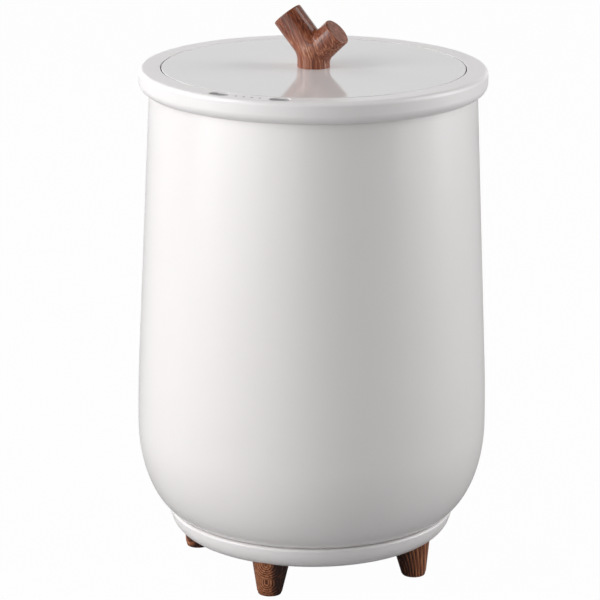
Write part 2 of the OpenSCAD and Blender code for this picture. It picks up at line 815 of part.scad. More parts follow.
module lid_insulation() {
    depth = cover_under - liner_floor - 2 * seat_gap;
    color([0.9, 0.87, 0.75]) difference() {
        translate([0, 0, liner_floor + seat_gap]) cylinder(h = depth, r = liner_r - liner_t - seat_gap);
        translate([0, 0, liner_floor]) cylinder(h = liner_h, d = washer_d + 2 * washer_play);
        round_at(lid_screw_as, lid_screw_r, liner_floor)
            cylinder(h = liner_h, d = lid_boss_d + 2 * seat_gap);
    }
}

module lid_seal() {
    color([0.8, 0.8, 0.78]) band(seal_in, seal_in + seal_w, seal_z, cover_under - seal_z);
}

module lid_screws() {
    color(steel) round_at(lid_screw_as, lid_screw_r, liner_z) screw(lid_screw_l);
}

// One arm of the handle: a round bar with softened end
module arm(d, l) {
    rotate_extrude() polygon(concat(
        [[0, 0], [d / 2, 0]],
        arc([d / 2 - arm_round, l - arm_round], arm_round, arm_round, 0, 90),
        [[0, l]]
    ));
}

// Forked wood handle: a domed neck that splits into a long and a short arm
module handle() {
    stem_r = neck_dia / 2;
    color(walnut) translate([0, 0, top_z]) difference() {
        union() {
            rotate_extrude() polygon(concat(
                [[0, 0], [stem_r, 0]], arc([0, arm_a_root], stem_r, stem_r, 0, 90)
            ));
            translate([0, 0, arm_a_root]) rotate([0, -arm_a_tilt, 0]) arm(arm_a_d, arm_a_l);
            translate([0, 0, arm_b_root]) rotate([0, arm_b_tilt, 0]) arm(arm_b_d, arm_b_l);
        }
        translate([0, 0, -past]) cylinder(h = bolt_in + 2 * past, d = bolt_hole_d);
    }
}

module handle_bolt() {
    color(steel) {
        translate([0, 0, cover_under - washer_t - bolt_head_h]) cylinder(h = bolt_head_h, d = bolt_head_d);
        translate([0, 0, cover_under - washer_t - bury])
            cylinder(h = cover_t + washer_t + bolt_in + bury, d = bolt_d);
    }
}

module handle_washer() {
    color(steel) difference() {
        translate([0, 0, cover_under - washer_t]) cylinder(h = washer_t, d = washer_d);
        translate([0, 0, cover_under - washer_t - past]) cylinder(h = washer_t + 2 * past, d = bolt_hole_d);
    }
}

foot_front();
foot_right();
foot_back();
foot_left();
foot_pads();
foot_studs();
foot_nuts();
base_pan();
base_screws();
cord_gland();
outer_shell();
rim_ring();
ring_screws();
inner_pot();
pot_cushions();
heat_shield();
shield_screws();
heating_belt();
belt_straps();
insulation_wrap();
thermostat();
thermal_fuse();
power_board();
transformer();
relay();
terminal_block();
board_screws();
heater_lead();
control_cable();
control_board();
cable_socket();
panel_screws();
key_switches();
indicator_leds();
light_pipes();
power_button();
timer_button();
lid_cover();
lid_liner();
lid_insulation();
lid_seal();
lid_screws();
handle();
handle_bolt();
handle_washer();
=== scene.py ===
# %% [markdown]
# # A towel warmer bucket, dressed for the studio
#
# The object is a white barrel on four splayed wood feet. A top ring carries two dished buttons and
# four small lights, and a flush round lid with a forked wood handle closes the heated pot inside.
#
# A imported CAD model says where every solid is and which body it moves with. It has the right sizes,
# but plain faces. This notebook gives each piece that can be seen the skin of the real one. Most
# pieces are surfaces worked out with numpy, finished with node materials. The small parts inside
# keep their CAD shape and get a material.

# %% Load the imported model
import json
import math

import bpy
import numpy as np
from mathutils import Matrix, Vector


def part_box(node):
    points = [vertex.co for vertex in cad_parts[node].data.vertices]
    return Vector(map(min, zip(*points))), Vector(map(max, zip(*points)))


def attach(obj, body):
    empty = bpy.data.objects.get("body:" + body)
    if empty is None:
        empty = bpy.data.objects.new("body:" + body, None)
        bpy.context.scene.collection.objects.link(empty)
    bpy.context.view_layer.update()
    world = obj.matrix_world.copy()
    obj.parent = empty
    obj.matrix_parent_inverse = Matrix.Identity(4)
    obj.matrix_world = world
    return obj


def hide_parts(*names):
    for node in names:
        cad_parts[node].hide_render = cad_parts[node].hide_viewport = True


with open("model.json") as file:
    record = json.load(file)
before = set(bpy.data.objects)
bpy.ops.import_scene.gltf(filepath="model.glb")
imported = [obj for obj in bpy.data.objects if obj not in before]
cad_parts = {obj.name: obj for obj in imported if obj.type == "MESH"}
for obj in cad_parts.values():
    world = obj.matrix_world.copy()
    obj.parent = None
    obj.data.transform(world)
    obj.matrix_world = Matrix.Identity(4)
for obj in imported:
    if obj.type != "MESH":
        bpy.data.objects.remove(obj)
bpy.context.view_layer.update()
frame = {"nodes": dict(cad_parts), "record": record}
scene = bpy.context.scene

# %% [markdown]
# ## Sizes
#
# Blender works in metres, and a maker thinks in millimetres, so every size here is in millimetres
# and is turned into metres when its mesh is made. The sizes that a node's box gives are read from
# it. The others are walls and roundings, which a box doesn't show.

# %% Sizes that the CAD boxes give
MM = 0.001


def corners(node):
    """Lowest and highest corner of a CAD node, in millimetres."""
    return [np.array(corner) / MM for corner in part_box(node)]


shell_low, shell_high = corners("outer_shell")
ring_low, ring_high = corners("rim_ring")
base_low, base_high = corners("base_pan")
pot_low, pot_high = corners("inner_pot")

belly_r, shell_foot_z, shell_flange_z = shell_high[0], shell_low[2], shell_high[2]
ring_r, shell_top_z, top_z = ring_high[0], ring_low[2], ring_high[2]
lip_r, base_z = base_high[0], base_low[2]
BASE_H = 21.0  # up to the lip; the posts inside stand higher
lip_z = base_z + BASE_H
lid_r = corners("lid_cover")[1][0]
pot_flange_r, pot_under_z, pot_top_z = pot_high[0], pot_low[2], pot_high[2]
print(f"belly {belly_r:.2f}, ring {ring_r:.2f}, lid {lid_r:.2f}, base lip {lip_r:.2f}, top {top_z:.2f}")

# %% [markdown]
# ## The camera
#
# The picture was taken with a long lens, which keeps the barrel's sides almost parallel. The camera
# stands 22.5 degrees round from the controls, a little above the lid, and looks down 16 degrees. Two
# very small turns are left over from how the picture was cropped.

# %% Place the camera
BEARING = math.radians(22.5)  # of the camera, round from the front towards +X
CAMERA_AT = (0.9468, -2.2857, 0.9431)
LOOK_DOWN = 0.277125  # below level, in radians
SWING, ROLL = 0.004381, 0.004769  # left over from the crop, in radians
camera = bpy.data.objects.new("studio_camera", bpy.data.cameras.new("studio_camera"))
camera.data.lens = 174.0
camera.data.sensor_width = 36.0
camera.data.clip_end = 60.0
camera.matrix_world = (
    Matrix.Translation(CAMERA_AT)
    @ Matrix.Rotation(BEARING + SWING, 4, "Z")
    @ Matrix.Rotation(math.pi / 2 - LOOK_DOWN, 4, "X")
    @ Matrix.Rotation(ROLL, 4, "Z")
)
scene.collection.objects.link(camera)
scene.camera = camera
scene.view_settings.view_transform = "Standard"
print("camera at", [round(v, 3) for v in camera.location])

# %% [markdown]
# ## Node helpers
#
# A procedural material is a small program made of nodes. A few helpers keep the wiring short: one
# adds a node with its inputs, and others add a Math node and hand back its result. An input that is
# another node's socket is linked, and anything else is typed in.

# %% Helpers that wire nodes


def put(tree, kind, inputs=None, **settings):
    """Adds one node with its settings and inputs, and returns it."""
    node = tree.nodes.new(kind)
    for name, value in settings.items():
        setattr(node, name, value)
    for name, value in (inputs or {}).items():
        if isinstance(value, bpy.types.NodeSocket):
            tree.links.new(value, node.inputs[name])
        else:
            node.inputs[name].default_value = value
    return node


def calc(tree, operation, *values, clamp=False):
    """Adds a Math node over the values and returns its result."""
    inputs = dict(enumerate(values))
    return put(tree, "ShaderNodeMath", inputs, operation=operation, use_clamp=clamp).outputs[0]


def plus(tree, a, b):
    """The sum of two values."""
    return calc(tree, "ADD", a, b)


def minus(tree, a, b):
    """The first value less the second."""
    return calc(tree, "SUBTRACT", a, b)


def times(tree, a, b):
    """The product of two values."""
    return calc(tree, "MULTIPLY", a, b)


def blend(tree, amount, first, second):
    """Mixes two colours and returns the result."""
    inputs = {0: amount, 6: first, 7: second}
    return put(tree, "ShaderNodeMix", inputs, data_type="RGBA").outputs[2]


def noise(tree, place, scale, detail=3.0, roughness=0.5, distortion=0.0):
    """Noise from 0 to 1 at a place, with so many waves in a unit of length."""
    inputs = {"Vector": place, "Scale": scale, "Detail": detail, "Roughness": roughness,
              "Distortion": distortion}
    return put(tree, "ShaderNodeTexNoise", inputs).outputs[0]


def stretched(tree, place, scale):
    """The place with each direction scaled by its own number."""
    inputs = {0: place, 1: scale}
    return put(tree, "ShaderNodeVectorMath", inputs, operation="MULTIPLY").outputs[0]


def spread(tree, value, low, high, to_low=0.0, to_high=1.0):
    """Stretches low..high to a new range, and stops at its ends."""
    inputs = {0: value, 1: low, 2: high, 3: to_low, 4: to_high}
    return put(tree, "ShaderNodeMapRange", inputs).outputs[0]


def new_group(name, inputs, outputs):
    """A shader node group with its sockets; inputs are (name, kind, value), outputs (name, kind)."""
    tree = bpy.data.node_groups.new(name, "ShaderNodeTree")
    for label, kind, value in inputs:
        socket = tree.interface.new_socket(label, in_out="INPUT", socket_type="NodeSocket" + kind)
        if value is not None:
            socket.default_value = value
    for label, kind in outputs:
        tree.interface.new_socket(label, in_out="OUTPUT", socket_type="NodeSocket" + kind)
    return tree, tree.nodes.new("NodeGroupInput").outputs, tree.nodes.new("NodeGroupOutput")


def hand_out(tree, out, **values):
    """Links values to the group's outputs, by name with _ for a space."""
    for name, value in values.items():
        tree.links.new(value, out.inputs[name.replace("_", " ")])


def new_material(name):
    """An empty node material with a Principled shader; returns material, tree and shader."""
    material = bpy.data.materials.new(name)
    material.use_nodes = True
    return material, material.node_tree, material.node_tree.nodes["Principled BSDF"]


def set_sockets(shader, **values):
    """Types values into a shader's sockets, by name with _ for a space."""
    for name, value in values.items():
        shader.inputs[name.replace("_", " ")].default_value = value


print("node helpers ready")

# %% [markdown]
# ## Effects that several finishes share
#
# Each effect is a node group: a box of nodes with named inputs, so that one effect serves many
# materials with different numbers. A group gives out only things that change over the surface. The
# shader itself stays in the material.
#
# **Moulded skin.** A moulded or enamelled surface is never one flat colour. It has a very faint
# mottle over centimetres, a fine orange-peel ripple of a millimetre or two, and a gloss that drifts
# a little from place to place.

# %% Group: moulded skin
skin_group, ins, out = new_group(
    "moulded skin",
    [("Colour", "Color", (0.8, 0.8, 0.8, 1)), ("Mottle", "Float", 0.02), ("Gloss Drift", "Float", 0.03),
     ("Roughness", "Float", 0.35), ("Peel Waves", "Float", 450.0)],
    [("Colour", "Color"), ("Roughness", "Float"), ("Ripple", "Float")])
here = put(skin_group, "ShaderNodeTexCoord").outputs["Object"]
cloud = noise(skin_group, here, 28.0, 4.0)
tone = plus(skin_group, 1.0, times(skin_group, minus(skin_group, cloud, 0.5), ins["Mottle"]))
drift = noise(skin_group, here, 90.0, 2.0)
swing = times(skin_group, minus(skin_group, drift, 0.5), ins["Gloss Drift"])
gloss = plus(skin_group, ins["Roughness"], swing)
shaded = put(skin_group, "ShaderNodeVectorMath", {0: ins["Colour"], "Scale": tone}, operation="SCALE")
hand_out(skin_group, out, Colour=shaded.outputs[0], Roughness=gloss,
         Ripple=noise(skin_group, here, ins["Peel Waves"], 1.0))
print("group:", skin_group.name)

# %% [markdown]
# **Wood grain.** A log grows in rings round its pith. Cut along the log, the rings show as long
# streaks. Cut at a slant, they show as arches. So the ring number here is the distance from the
# pith, less a slant times the height, with some noise for the tree's own wobble. Fine pores and
# fibres are noise drawn out along the log. The place comes from the piece's own "grain" attribute,
# in millimetres with its third number along the log, so the grain can lean over inside a branch.
# Painted shade darkens the feet on the side with less light; the handle's arms darken to their ends.

# %% Group: wood grain
wood_group, ins, out = new_group(
    "wood grain",
    [("Place", "Vector", None), ("Pith", "Vector", None), ("Slant", "Float", 0.0),
     ("Ring Width", "Float", 2.0), ("Wobble", "Float", 2.0), ("Dark", "Color", (0.02, 0.01, 0.01, 1)),
     ("Middle", "Color", (0.1, 0.04, 0.02, 1)), ("Pale", "Color", (0.3, 0.15, 0.1, 1)),
     ("Ring Strength", "Float", 0.5), ("Streak Strength", "Float", 0.6),
     ("Streak Waves", "Vector", (0.5, 0.5, 0.02)), ("Stain", "Float", 0.0), ("Roughness", "Float", 0.4)],
    [("Colour", "Color"), ("Roughness", "Float"), ("Relief", "Float")])
tree = wood_group
swell = noise(tree, stretched(tree, ins["Place"], (0.09, 0.09, 0.03)), 1.0, 2.0)
off_pith = put(tree, "ShaderNodeVectorMath", {0: ins["Place"], 1: ins["Pith"]}, operation="SUBTRACT")
parts = put(tree, "ShaderNodeSeparateXYZ", {0: off_pith.outputs[0]}).outputs
from_pith = calc(tree, "SQRT", plus(
    tree, times(tree, parts[0], parts[0]), times(tree, parts[1], parts[1])))
rise = times(tree, parts[2], ins["Slant"])
wobble = times(tree, minus(tree, swell, 0.5), times(tree, ins["Wobble"], 2.0))
age = plus(tree, minus(tree, from_pith, rise), wobble)
phase = calc(tree, "FRACT", calc(tree, "DIVIDE", age, ins["Ring Width"]))
# A ring is pale early wood that darkens slowly and ends in a thin dark line of late wood.
edge = minus(tree, calc(tree, "POWER", phase, 2.5), calc(tree, "POWER", phase, 14.0))
streak = noise(tree, stretched(tree, ins["Place"], ins["Streak Waves"]), 1.0, 3.0, 0.55, 0.2)
fibre = noise(tree, stretched(tree, ins["Place"], (3.2, 3.2, 0.10)), 1.0, 2.0, 0.6)
rings_in = times(tree, minus(tree, 0.35, edge), ins["Ring Strength"])
streaks_in = times(tree, minus(tree, streak, 0.5), times(tree, ins["Streak Strength"], 3.2))
tone = plus(tree, plus(tree, 0.45, rings_in), streaks_in)
fibres_in = times(tree, minus(tree, fibre, 0.5), 0.5)
# Painted shade on the feet, and a darkening towards the arm ends on the handle, take lightness off here.
lightness = calc(tree, "SUBTRACT", plus(tree, tone, fibres_in), ins["Stain"], clamp=True)
low_half = blend(tree, spread(tree, lightness, 0.0, 0.5), ins["Dark"], ins["Middle"])
colour = blend(tree, spread(tree, lightness, 0.5, 1.0), low_half, ins["Pale"])
pores = spread(tree, fibre, 0.30, 0.42)
gloss = plus(tree, ins["Roughness"], times(tree, minus(tree, 1.0, pores), 0.22))
relief = plus(tree, times(tree, pores, 0.7), times(tree, lightness, 0.3))
hand_out(tree, out, Colour=colour, Roughness=gloss, Relief=relief)
print("group:", wood_group.name)

# %% [markdown]
# **Brushed metal.** A belt or a lathe leaves fine parallel scratches. Each scratch is a streak of
# noise drawn out along the way the tool went, and it changes the gloss far more than the colour.

# %% Group: brushed metal
brush_group, ins, out = new_group(
    "brushed metal",
    [("Place", "Vector", None), ("Colour", "Color", (0.7, 0.7, 0.7, 1)), ("Roughness", "Float", 0.3),
     ("Scratch Depth", "Float", 0.2)],
    [("Colour", "Color"), ("Roughness", "Float"), ("Scratches", "Float")])
tree = brush_group
scratch = noise(tree, ins["Place"], 1.0, 3.0, 0.7)
haze = noise(tree, put(tree, "ShaderNodeTexCoord").outputs["Object"], 22.0, 3.0)
gloss = plus(tree, ins["Roughness"], times(tree, minus(tree, scratch, 0.5), ins["Scratch Depth"]))
tone = plus(tree, 0.86, plus(tree, times(tree, scratch, 0.16), times(tree, haze, 0.12)))
shaded = put(tree, "ShaderNodeVectorMath", {0: ins["Colour"], "Scale": tone}, operation="SCALE")
hand_out(tree, out, Colour=shaded.outputs[0], Roughness=gloss, Scratches=scratch)
print("group:", brush_group.name)

# %% [markdown]
# **Fibre mat.** Glass wool is a tangle of fibres with soft clumps. Two noises that are strongly
# bent by a third give short curved hairs, and a slow one gives the clumps.

# %% Group: fibre mat
fibre_group, ins, out = new_group(
    "fibre mat",
    [("Colour", "Color", (0.8, 0.75, 0.6, 1)), ("Shade", "Color", (0.5, 0.45, 0.3, 1)),
     ("Hair Waves", "Float", 500.0)],
    [("Colour", "Color"), ("Roughness", "Float"), ("Fluff", "Float")])
tree = fibre_group
here = put(tree, "ShaderNodeTexCoord").outputs["Object"]
hair = noise(tree, stretched(tree, here, (1.0, 1.0, 3.0)), ins["Hair Waves"], 3.0, 0.6, 4.0)
clump = noise(tree, here, 70.0, 2.0)
mixed = plus(tree, times(tree, hair, 0.6), times(tree, clump, 0.4))
hand_out(tree, out, Colour=blend(tree, spread(tree, mixed, 0.3, 0.7), ins["Shade"], ins["Colour"]),
         Roughness=spread(tree, hair, 0.0, 1.0, 0.85, 1.0), Fluff=mixed)
print("group:", fibre_group.name)

# %% [markdown]
# ## Finishes
#
# A finish is one Principled shader with an effect in front of it. The same few lines make all the
# plain mouldings, so a table lists them: paint colour, gloss, how much it mottles, how deep its
# ripple is, and a clear coat where the real one has a polished top layer.

# %% Materials: moulded and painted surfaces


def use_group(tree, group, **values):
    """Places a group in a material, with values by input name and _ for a space."""
    inputs = {name.replace("_", " "): value for name, value in values.items()}
    return put(tree, "ShaderNodeGroup", inputs, node_tree=group).outputs


def wire_finish(tree, shader, effect, height, depth):
    """Links an effect's colour, roughness and relief to the shader; depth is the relief in metres."""
    tree.links.new(effect["Colour"], shader.inputs["Base Color"])
    tree.links.new(effect["Roughness"], shader.inputs["Roughness"])
    bump = put(tree, "ShaderNodeBump", {"Height": effect[height], "Distance": depth, "Strength": 1.0})
    tree.links.new(bump.outputs[0], shader.inputs["Normal"])


def moulded(name, colour, roughness, mottle=0.03, drift=0.05, waves=450.0, ripple=2e-6, **sockets):
    """A moulded, enamelled or rubber surface; sockets are typed into the shader."""
    material, tree, shader = new_material(name)
    effect = use_group(tree, skin_group, Colour=(*colour, 1), Mottle=mottle, Gloss_Drift=drift,
                       Roughness=roughness, Peel_Waves=waves)
    wire_finish(tree, shader, effect, "Ripple", ripple)
    set_sockets(shader, **sockets)
    return material


finishes = {
    "shell_white": moulded("satin white enamel", (0.775, 0.750, 0.747), 0.40, 0.02, 0.05, 500, 1.5e-6,
                           Coat_Weight=0.9, Coat_Roughness=0.22),
    "ring_white": moulded("white ring moulding", (0.770, 0.747, 0.747), 0.40, 0.02, 0.04, 600, 1e-6,
                          Coat_Weight=0.4, Coat_Roughness=0.28),
    "lid_white": moulded("polished lid moulding", (0.695, 0.685, 0.687), 0.08, 0.01, 0.02, 300, 6e-7,
                         Specular_IOR_Level=0.85),
    "button_grey": moulded("grey button moulding", (0.24, 0.24, 0.245), 0.30, 0.06, 0.08, 900, 2e-6),
    "light_window": moulded("frosted light window", (0.17, 0.17, 0.175), 0.35, 0.04, 0.05, 1500, 3e-6),
    "led": moulded("clear lamp resin", (0.85, 0.80, 0.60), 0.15, 0.05, 0.04, 1500, 2e-6),
    "black_rubber": moulded("matte black rubber", (0.022, 0.022, 0.023), 0.72, 0.25, 0.12, 1600, 8e-6),
    "silicone": moulded("pale silicone", (0.56, 0.55, 0.53), 0.55, 0.06, 0.1, 900, 4e-6),
    "heater_silicone": moulded("heater silicone sheet", (0.42, 0.10, 0.035), 0.6, 0.15, 0.1, 1400, 9e-6),
    "circuit_green": moulded("green board lacquer", (0.012, 0.11, 0.045), 0.32, 0.3, 0.12, 380, 6e-6),
    "coil_tape": moulded("yellow coil tape", (0.62, 0.42, 0.05), 0.4, 0.12, 0.1, 700, 8e-6),
    "relay_blue": moulded("blue relay case", (0.02, 0.08, 0.30), 0.3, 0.06, 0.06, 900, 3e-6),
    "terminal_green": moulded("green terminal block", (0.03, 0.20, 0.06), 0.4, 0.08, 0.06, 900, 4e-6),
    "connector_cream": moulded("cream connector", (0.72, 0.67, 0.52), 0.42, 0.06, 0.06, 900, 4e-6),
    "switch_black": moulded("black phenolic", (0.02, 0.018, 0.017), 0.38, 0.2, 0.1, 1200, 5e-6),
    "wire_red": moulded("red silicone wire", (0.42, 0.015, 0.01), 0.45, 0.08, 0.08, 1500, 3e-6),
    "wire_grey": moulded("grey cable jacket", (0.045, 0.045, 0.05), 0.5, 0.1, 0.08, 1500, 4e-6),
}
print("moulded finishes:", len(finishes))

# %% [markdown]
# Steel, aluminium, glass wool and the woven sleeve need another effect in front of the shader. The
# pot is spun on a lathe, so its scratches run round it: noise over (radius, height) alone, with only
# a slow change round the axis. The pressed steel parts were rolled in one direction.

# %% Materials: metals and fibres


def metal(name, colour, roughness, spun):
    """Brushed metal; spun runs the scratches round the upright axis, and else they run along X."""
    material, tree, shader = new_material(name)
    here = put(tree, "ShaderNodeTexCoord").outputs["Object"]
    if spun:
        parts = put(tree, "ShaderNodeSeparateXYZ", {0: here}).outputs
        radius = put(tree, "ShaderNodeVectorMath", {0: stretched(tree, here, (1, 1, 0))}, operation="LENGTH")
        turn = calc(tree, "ARCTAN2", parts[1], parts[0])
        place = put(tree, "ShaderNodeCombineXYZ", {
            0: times(tree, radius.outputs["Value"], 2600.0),
            1: times(tree, parts[2], 2600.0),
            2: times(tree, calc(tree, "SINE", turn), 2.0)}).outputs[0]
    else:
        place = stretched(tree, here, (60.0, 2400.0, 2400.0))
    effect = use_group(tree, brush_group, Place=place, Colour=(*colour, 1), Roughness=roughness,
                       Scratch_Depth=0.22)
    wire_finish(tree, shader, effect, "Scratches", 3e-6)
    shader.inputs["Metallic"].default_value = 1.0
    return material


def fibrous(name, colour, shade, waves, depth):
    """A tangle or weave of glass fibre."""
    material, tree, shader = new_material(name)
    effect = use_group(tree, fibre_group, Colour=(*colour, 1), Shade=(*shade, 1), Hair_Waves=waves)
    wire_finish(tree, shader, effect, "Fluff", depth)
    return material


finishes["pot_metal"] = metal("spun anodised aluminium", (0.78, 0.78, 0.79), 0.34, True)
finishes["steel"] = metal("zinc plated steel", (0.62, 0.63, 0.65), 0.36, False)
finishes["glass_wool"] = fibrous("glass wool", (0.80, 0.72, 0.45), (0.48, 0.40, 0.20), 420.0, 4e-4)
finishes["fuse_sleeve"] = fibrous("woven glass sleeve", (0.78, 0.77, 0.70), (0.45, 0.44, 0.40), 1400.0, 8e-5)
print("finishes so far:", len(finishes))

# %% [markdown]
# The handle and the feet are the same stained walnut. The handle is redder and shows long pale
# streaks. The feet are cut from darker pieces, at a slant, so that the front one shows arches: there
# the late wood took less stain, so its lines are paler than the rest. Both have a thin glossy
# lacquer over open pores.

# %% Materials: stained walnut


def walnut(name, dark, middle, pale, roughness, coat, **grain):
    """Lacquered walnut over the piece's own grain (in millimetres) and darkening attributes."""
    material, tree, shader = new_material(name)
    place = put(tree, "ShaderNodeAttribute", attribute_name="grain").outputs["Vector"]
    # The second attribute is painted shade on the feet, and a darkening towards the arm ends on the handle.
    darkening = put(tree, "ShaderNodeAttribute", attribute_name="darkening").outputs["Fac"]
    effect = use_group(tree, wood_group, Place=place, Stain=darkening, Dark=(*dark, 1), Middle=(*middle, 1),
                       Pale=(*pale, 1), Roughness=roughness, **grain)
    wire_finish(tree, shader, effect, "Relief", 2.5e-5)
    set_sockets(shader, Coat_Weight=coat, Coat_Roughness=0.1, Specular_IOR_Level=0.2)
    return material


handle_wood = walnut("handle walnut", (0.085, 0.020, 0.010), (0.270, 0.080, 0.038), (0.70, 0.40, 0.22),
                     0.5, 0.6, Pith=(-60.0, 14.0, 0.0), Slant=0.05, Ring_Width=2.6, Wobble=1.7,
                     Ring_Strength=-0.14, Streak_Strength=0.54, Streak_Waves=(0.72, 0.72, 0.012))
foot_wood = walnut("foot walnut", (0.028, 0.008, 0.004), (0.290, 0.096, 0.040), (0.72, 0.37, 0.18),
                   0.5, 0.3, Pith=(0.0, 0.0, 0.0), Slant=0.0, Ring_Width=2.2, Wobble=0.7,
                   Ring_Strength=-0.85, Streak_Strength=0.3)
finishes["walnut"] = handle_wood
print("walnut: handle and feet")

# %% [markdown]
# ## Making surfaces
#
# Nearly every piece of this object is turned, pressed or moulded, so it is a skin of closed rings:
# `grid[i, j]` is point j of ring i. The rings run from one pole to the other, or on round to the
# first again. One helper numbers the points and joins neighbours with four-sided faces. The others
# make the rings.

# %% Helpers that make meshes


def skin(name, grid, loop=False):
    """A closed mesh over rings of points, in millimetres.

    Face (i, j) joins points (i, j), (i, j+1), (i+1, j+1) and (i+1, j), and ring ends meet. Unless
    loop is set, the first and the last ring are single points, and their faces are triangles.
    """
    rows, columns = grid.shape[:2]
    row, column = np.meshgrid(np.arange(rows), np.arange(columns), indexing="ij")
    if loop:
        number = row * columns + column
        points = grid.reshape(-1, 3)
        quads = np.stack([number, np.roll(number, -1, 1), np.roll(np.roll(number, -1, 0), -1, 1),
                          np.roll(number, -1, 0)], -1).reshape(-1, 4)
        faces = quads.tolist()
    else:
        last = 1 + (rows - 2) * columns
        number = np.clip(1 + (row - 1) * columns + column, 0, last)
        points = np.concatenate([grid[0, :1], grid[1:-1].reshape(-1, 3), grid[-1, :1]])
        right = np.roll(number, -1, 1)
        quads = np.stack([number[1:-2], right[1:-2], right[2:-1], number[2:-1]], -1).reshape(-1, 4)
        start = np.stack([number[0], right[1], number[1]], -1)
        end = np.stack([number[-2], right[-2], number[-1]], -1)
        faces = quads.tolist() + start.tolist() + end.tolist()
    mesh = bpy.data.meshes.new(name)
    mesh.from_pydata((points * MM).tolist(), [], faces)
    piece = bpy.data.objects.new(name, mesh)
    scene.collection.objects.link(piece)
    return piece


def rounded(outline, steps=6):
    """An outline with arcs at its corners, from rows of (r, z, rounding).

    An arc touches both sides of its corner: it starts rounding / tan(half the corner's angle) away
    from it, and its points turn evenly about a centre on the corner's bisector.
    """
    spots = np.array([row[:2] for row in outline], float)
    pieces = []
    for k, row in enumerate(outline):
        radius = row[2] if len(row) > 2 else 0.0
        if radius == 0.0:
            pieces.append(spots[k:k + 1])
            continue
        to_last = spots[k - 1] - spots[k]
        to_next = spots[(k + 1) % len(spots)] - spots[k]
        to_last, to_next = to_last / np.hypot(*to_last), to_next / np.hypot(*to_next)
        half = math.acos(np.clip(to_last @ to_next, -1, 1)) / 2
        centre = spots[k] + (to_last + to_next) / np.hypot(*(to_last + to_next)) * radius / math.sin(half)
        first = spots[k] + to_last * radius / math.tan(half) - centre
        final = spots[k] + to_next * radius / math.tan(half) - centre
        swing = math.pi - 2 * half
        t = np.linspace(0, 1, steps + 1)[:, None]
        swept = (np.sin((1 - t) * swing) * first + np.sin(t * swing) * final) / math.sin(swing)
        pieces.append(centre + swept)
    return np.concatenate(pieces)


def arc(centre, rx, rz, start, end, steps=12):
    """Points of an ellipse's arc between two angles in degrees."""
    a = np.radians(np.linspace(start, end, steps + 1))
    return np.stack([centre[0] + rx * np.cos(a), centre[1] + rz * np.sin(a)], 1)


def turned(name, profile, sides=256, loop=False):
    """A profile carried round the upright axis, as on a lathe.

    The point (r, z) at the angle a lies at (r sin a, -r cos a, z). The profile runs from the lower
    end of the axis outwards and up to its upper end, or anticlockwise round a loop.
    """
    a = np.linspace(0, 2 * math.pi, sides, endpoint=False)
    r, z = np.asarray(profile)[:, 0, None], np.asarray(profile)[:, 1, None]
    return skin(name, np.stack([r * np.sin(a), -r * np.cos(a), z + 0 * a], -1), loop)


def polar(r, degrees, z=0.0):
    """The point at a radius and an angle, which is 0 at the front and grows towards +X."""
    a = math.radians(degrees)
    return np.array([r * math.sin(a), -r * math.cos(a), z])


def place(piece, *steps):
    """Moves a piece's mesh by turns and shifts, the first step first, and leaves its object still."""
    for step in steps:
        piece.data.transform(step)
    return piece


def standing(r, degrees, z=0.0):
    """Shift and turn that stand a piece at a radius, angle and height, with its -Y side outwards."""
    shift = Matrix.Translation(Vector(polar(r, degrees, z) * MM))
    return shift @ Matrix.Rotation(math.radians(degrees), 4, "Z")


def joined(name, pieces):
    """Several meshes as one, by the object join that Blender has for it."""
    with bpy.context.temp_override(active_object=pieces[0], selected_editable_objects=pieces):
        bpy.ops.object.join()
    pieces[0].name = pieces[0].data.name = name
    return pieces[0]


def applied(piece):
    """Bakes the piece's modifiers into its mesh."""
    mesh = bpy.data.meshes.new_from_object(piece.evaluated_get(bpy.context.evaluated_depsgraph_get()))
    piece.modifiers.clear()
    piece.data = mesh
    mesh.name = piece.name
    return piece


def combine(piece, operation, *tools):
    """Cuts closed tools out of a piece (DIFFERENCE) or adds them to it (UNION), and removes them."""
    for tool in tools:
        step = piece.modifiers.new(tool.name, "BOOLEAN")
        step.operation, step.solver, step.object = operation, "EXACT", tool
    applied(piece)
    for tool in tools:
        bpy.data.objects.remove(tool)
    return piece


def dress(piece, body, slot, *nodes, finish=None, sharp=32.0):
    """Gives a piece its material, smooth shading and body, and hides the CAD nodes it stands for.

    The slot's finish is used unless another one is named.
    Edges sharper than the angle stay sharp, and Weighted Normal lets large faces keep a flat look
    up to the start of a rounding.
    """
    mesh = piece.data
    mesh.materials.clear()
    mesh.materials.append(finish or finishes[slot])
    mesh.shade_smooth()
    mesh.set_sharp_from_angle(angle=math.radians(sharp))
    steady = piece.modifiers.new("even shading", "WEIGHTED_NORMAL")
    steady.keep_sharp = True
    if nodes:
        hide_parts(*nodes)
    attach(piece, body)
    print(f"{piece.name}: {len(mesh.vertices)} points, rides on {body}, stands for {', '.join(nodes)}")
    return piece


print("mesh helpers ready")

# %% [markdown]
# ## The body shell
#
# The real shell is a spun or moulded barrel with a satin white skin, 2.5 mm thick. Its outline has
# three parts that meet without a corner: an ellipse that tucks in below the belly, a parabola that
# rolls over the belly, and a straight taper up to the ring. A turned profile gives it exactly, with
# many more points than the CAD has, so that no band shows in the soft light. Both ends turn inwards
# as flanges for the screws. They stay hidden in the base and the ring.

# %% Piece: body shell
SHELL_T = 2.5
NECK_R = 142.75
NECK_IN = 132.6
BELLY_RISE = 79.5
ROLL_H = 59.0
HIP_TUCK = 3.0
LIP_T = 3.5
FIT_GAP = 0.2
FLANGE_IN = 97.0
PAST = 1.0  # how far a cutter reaches past a face, so that no two faces coincide
mouth_r = lip_r - LIP_T - FIT_GAP
belly_z = lip_z + BELLY_RISE


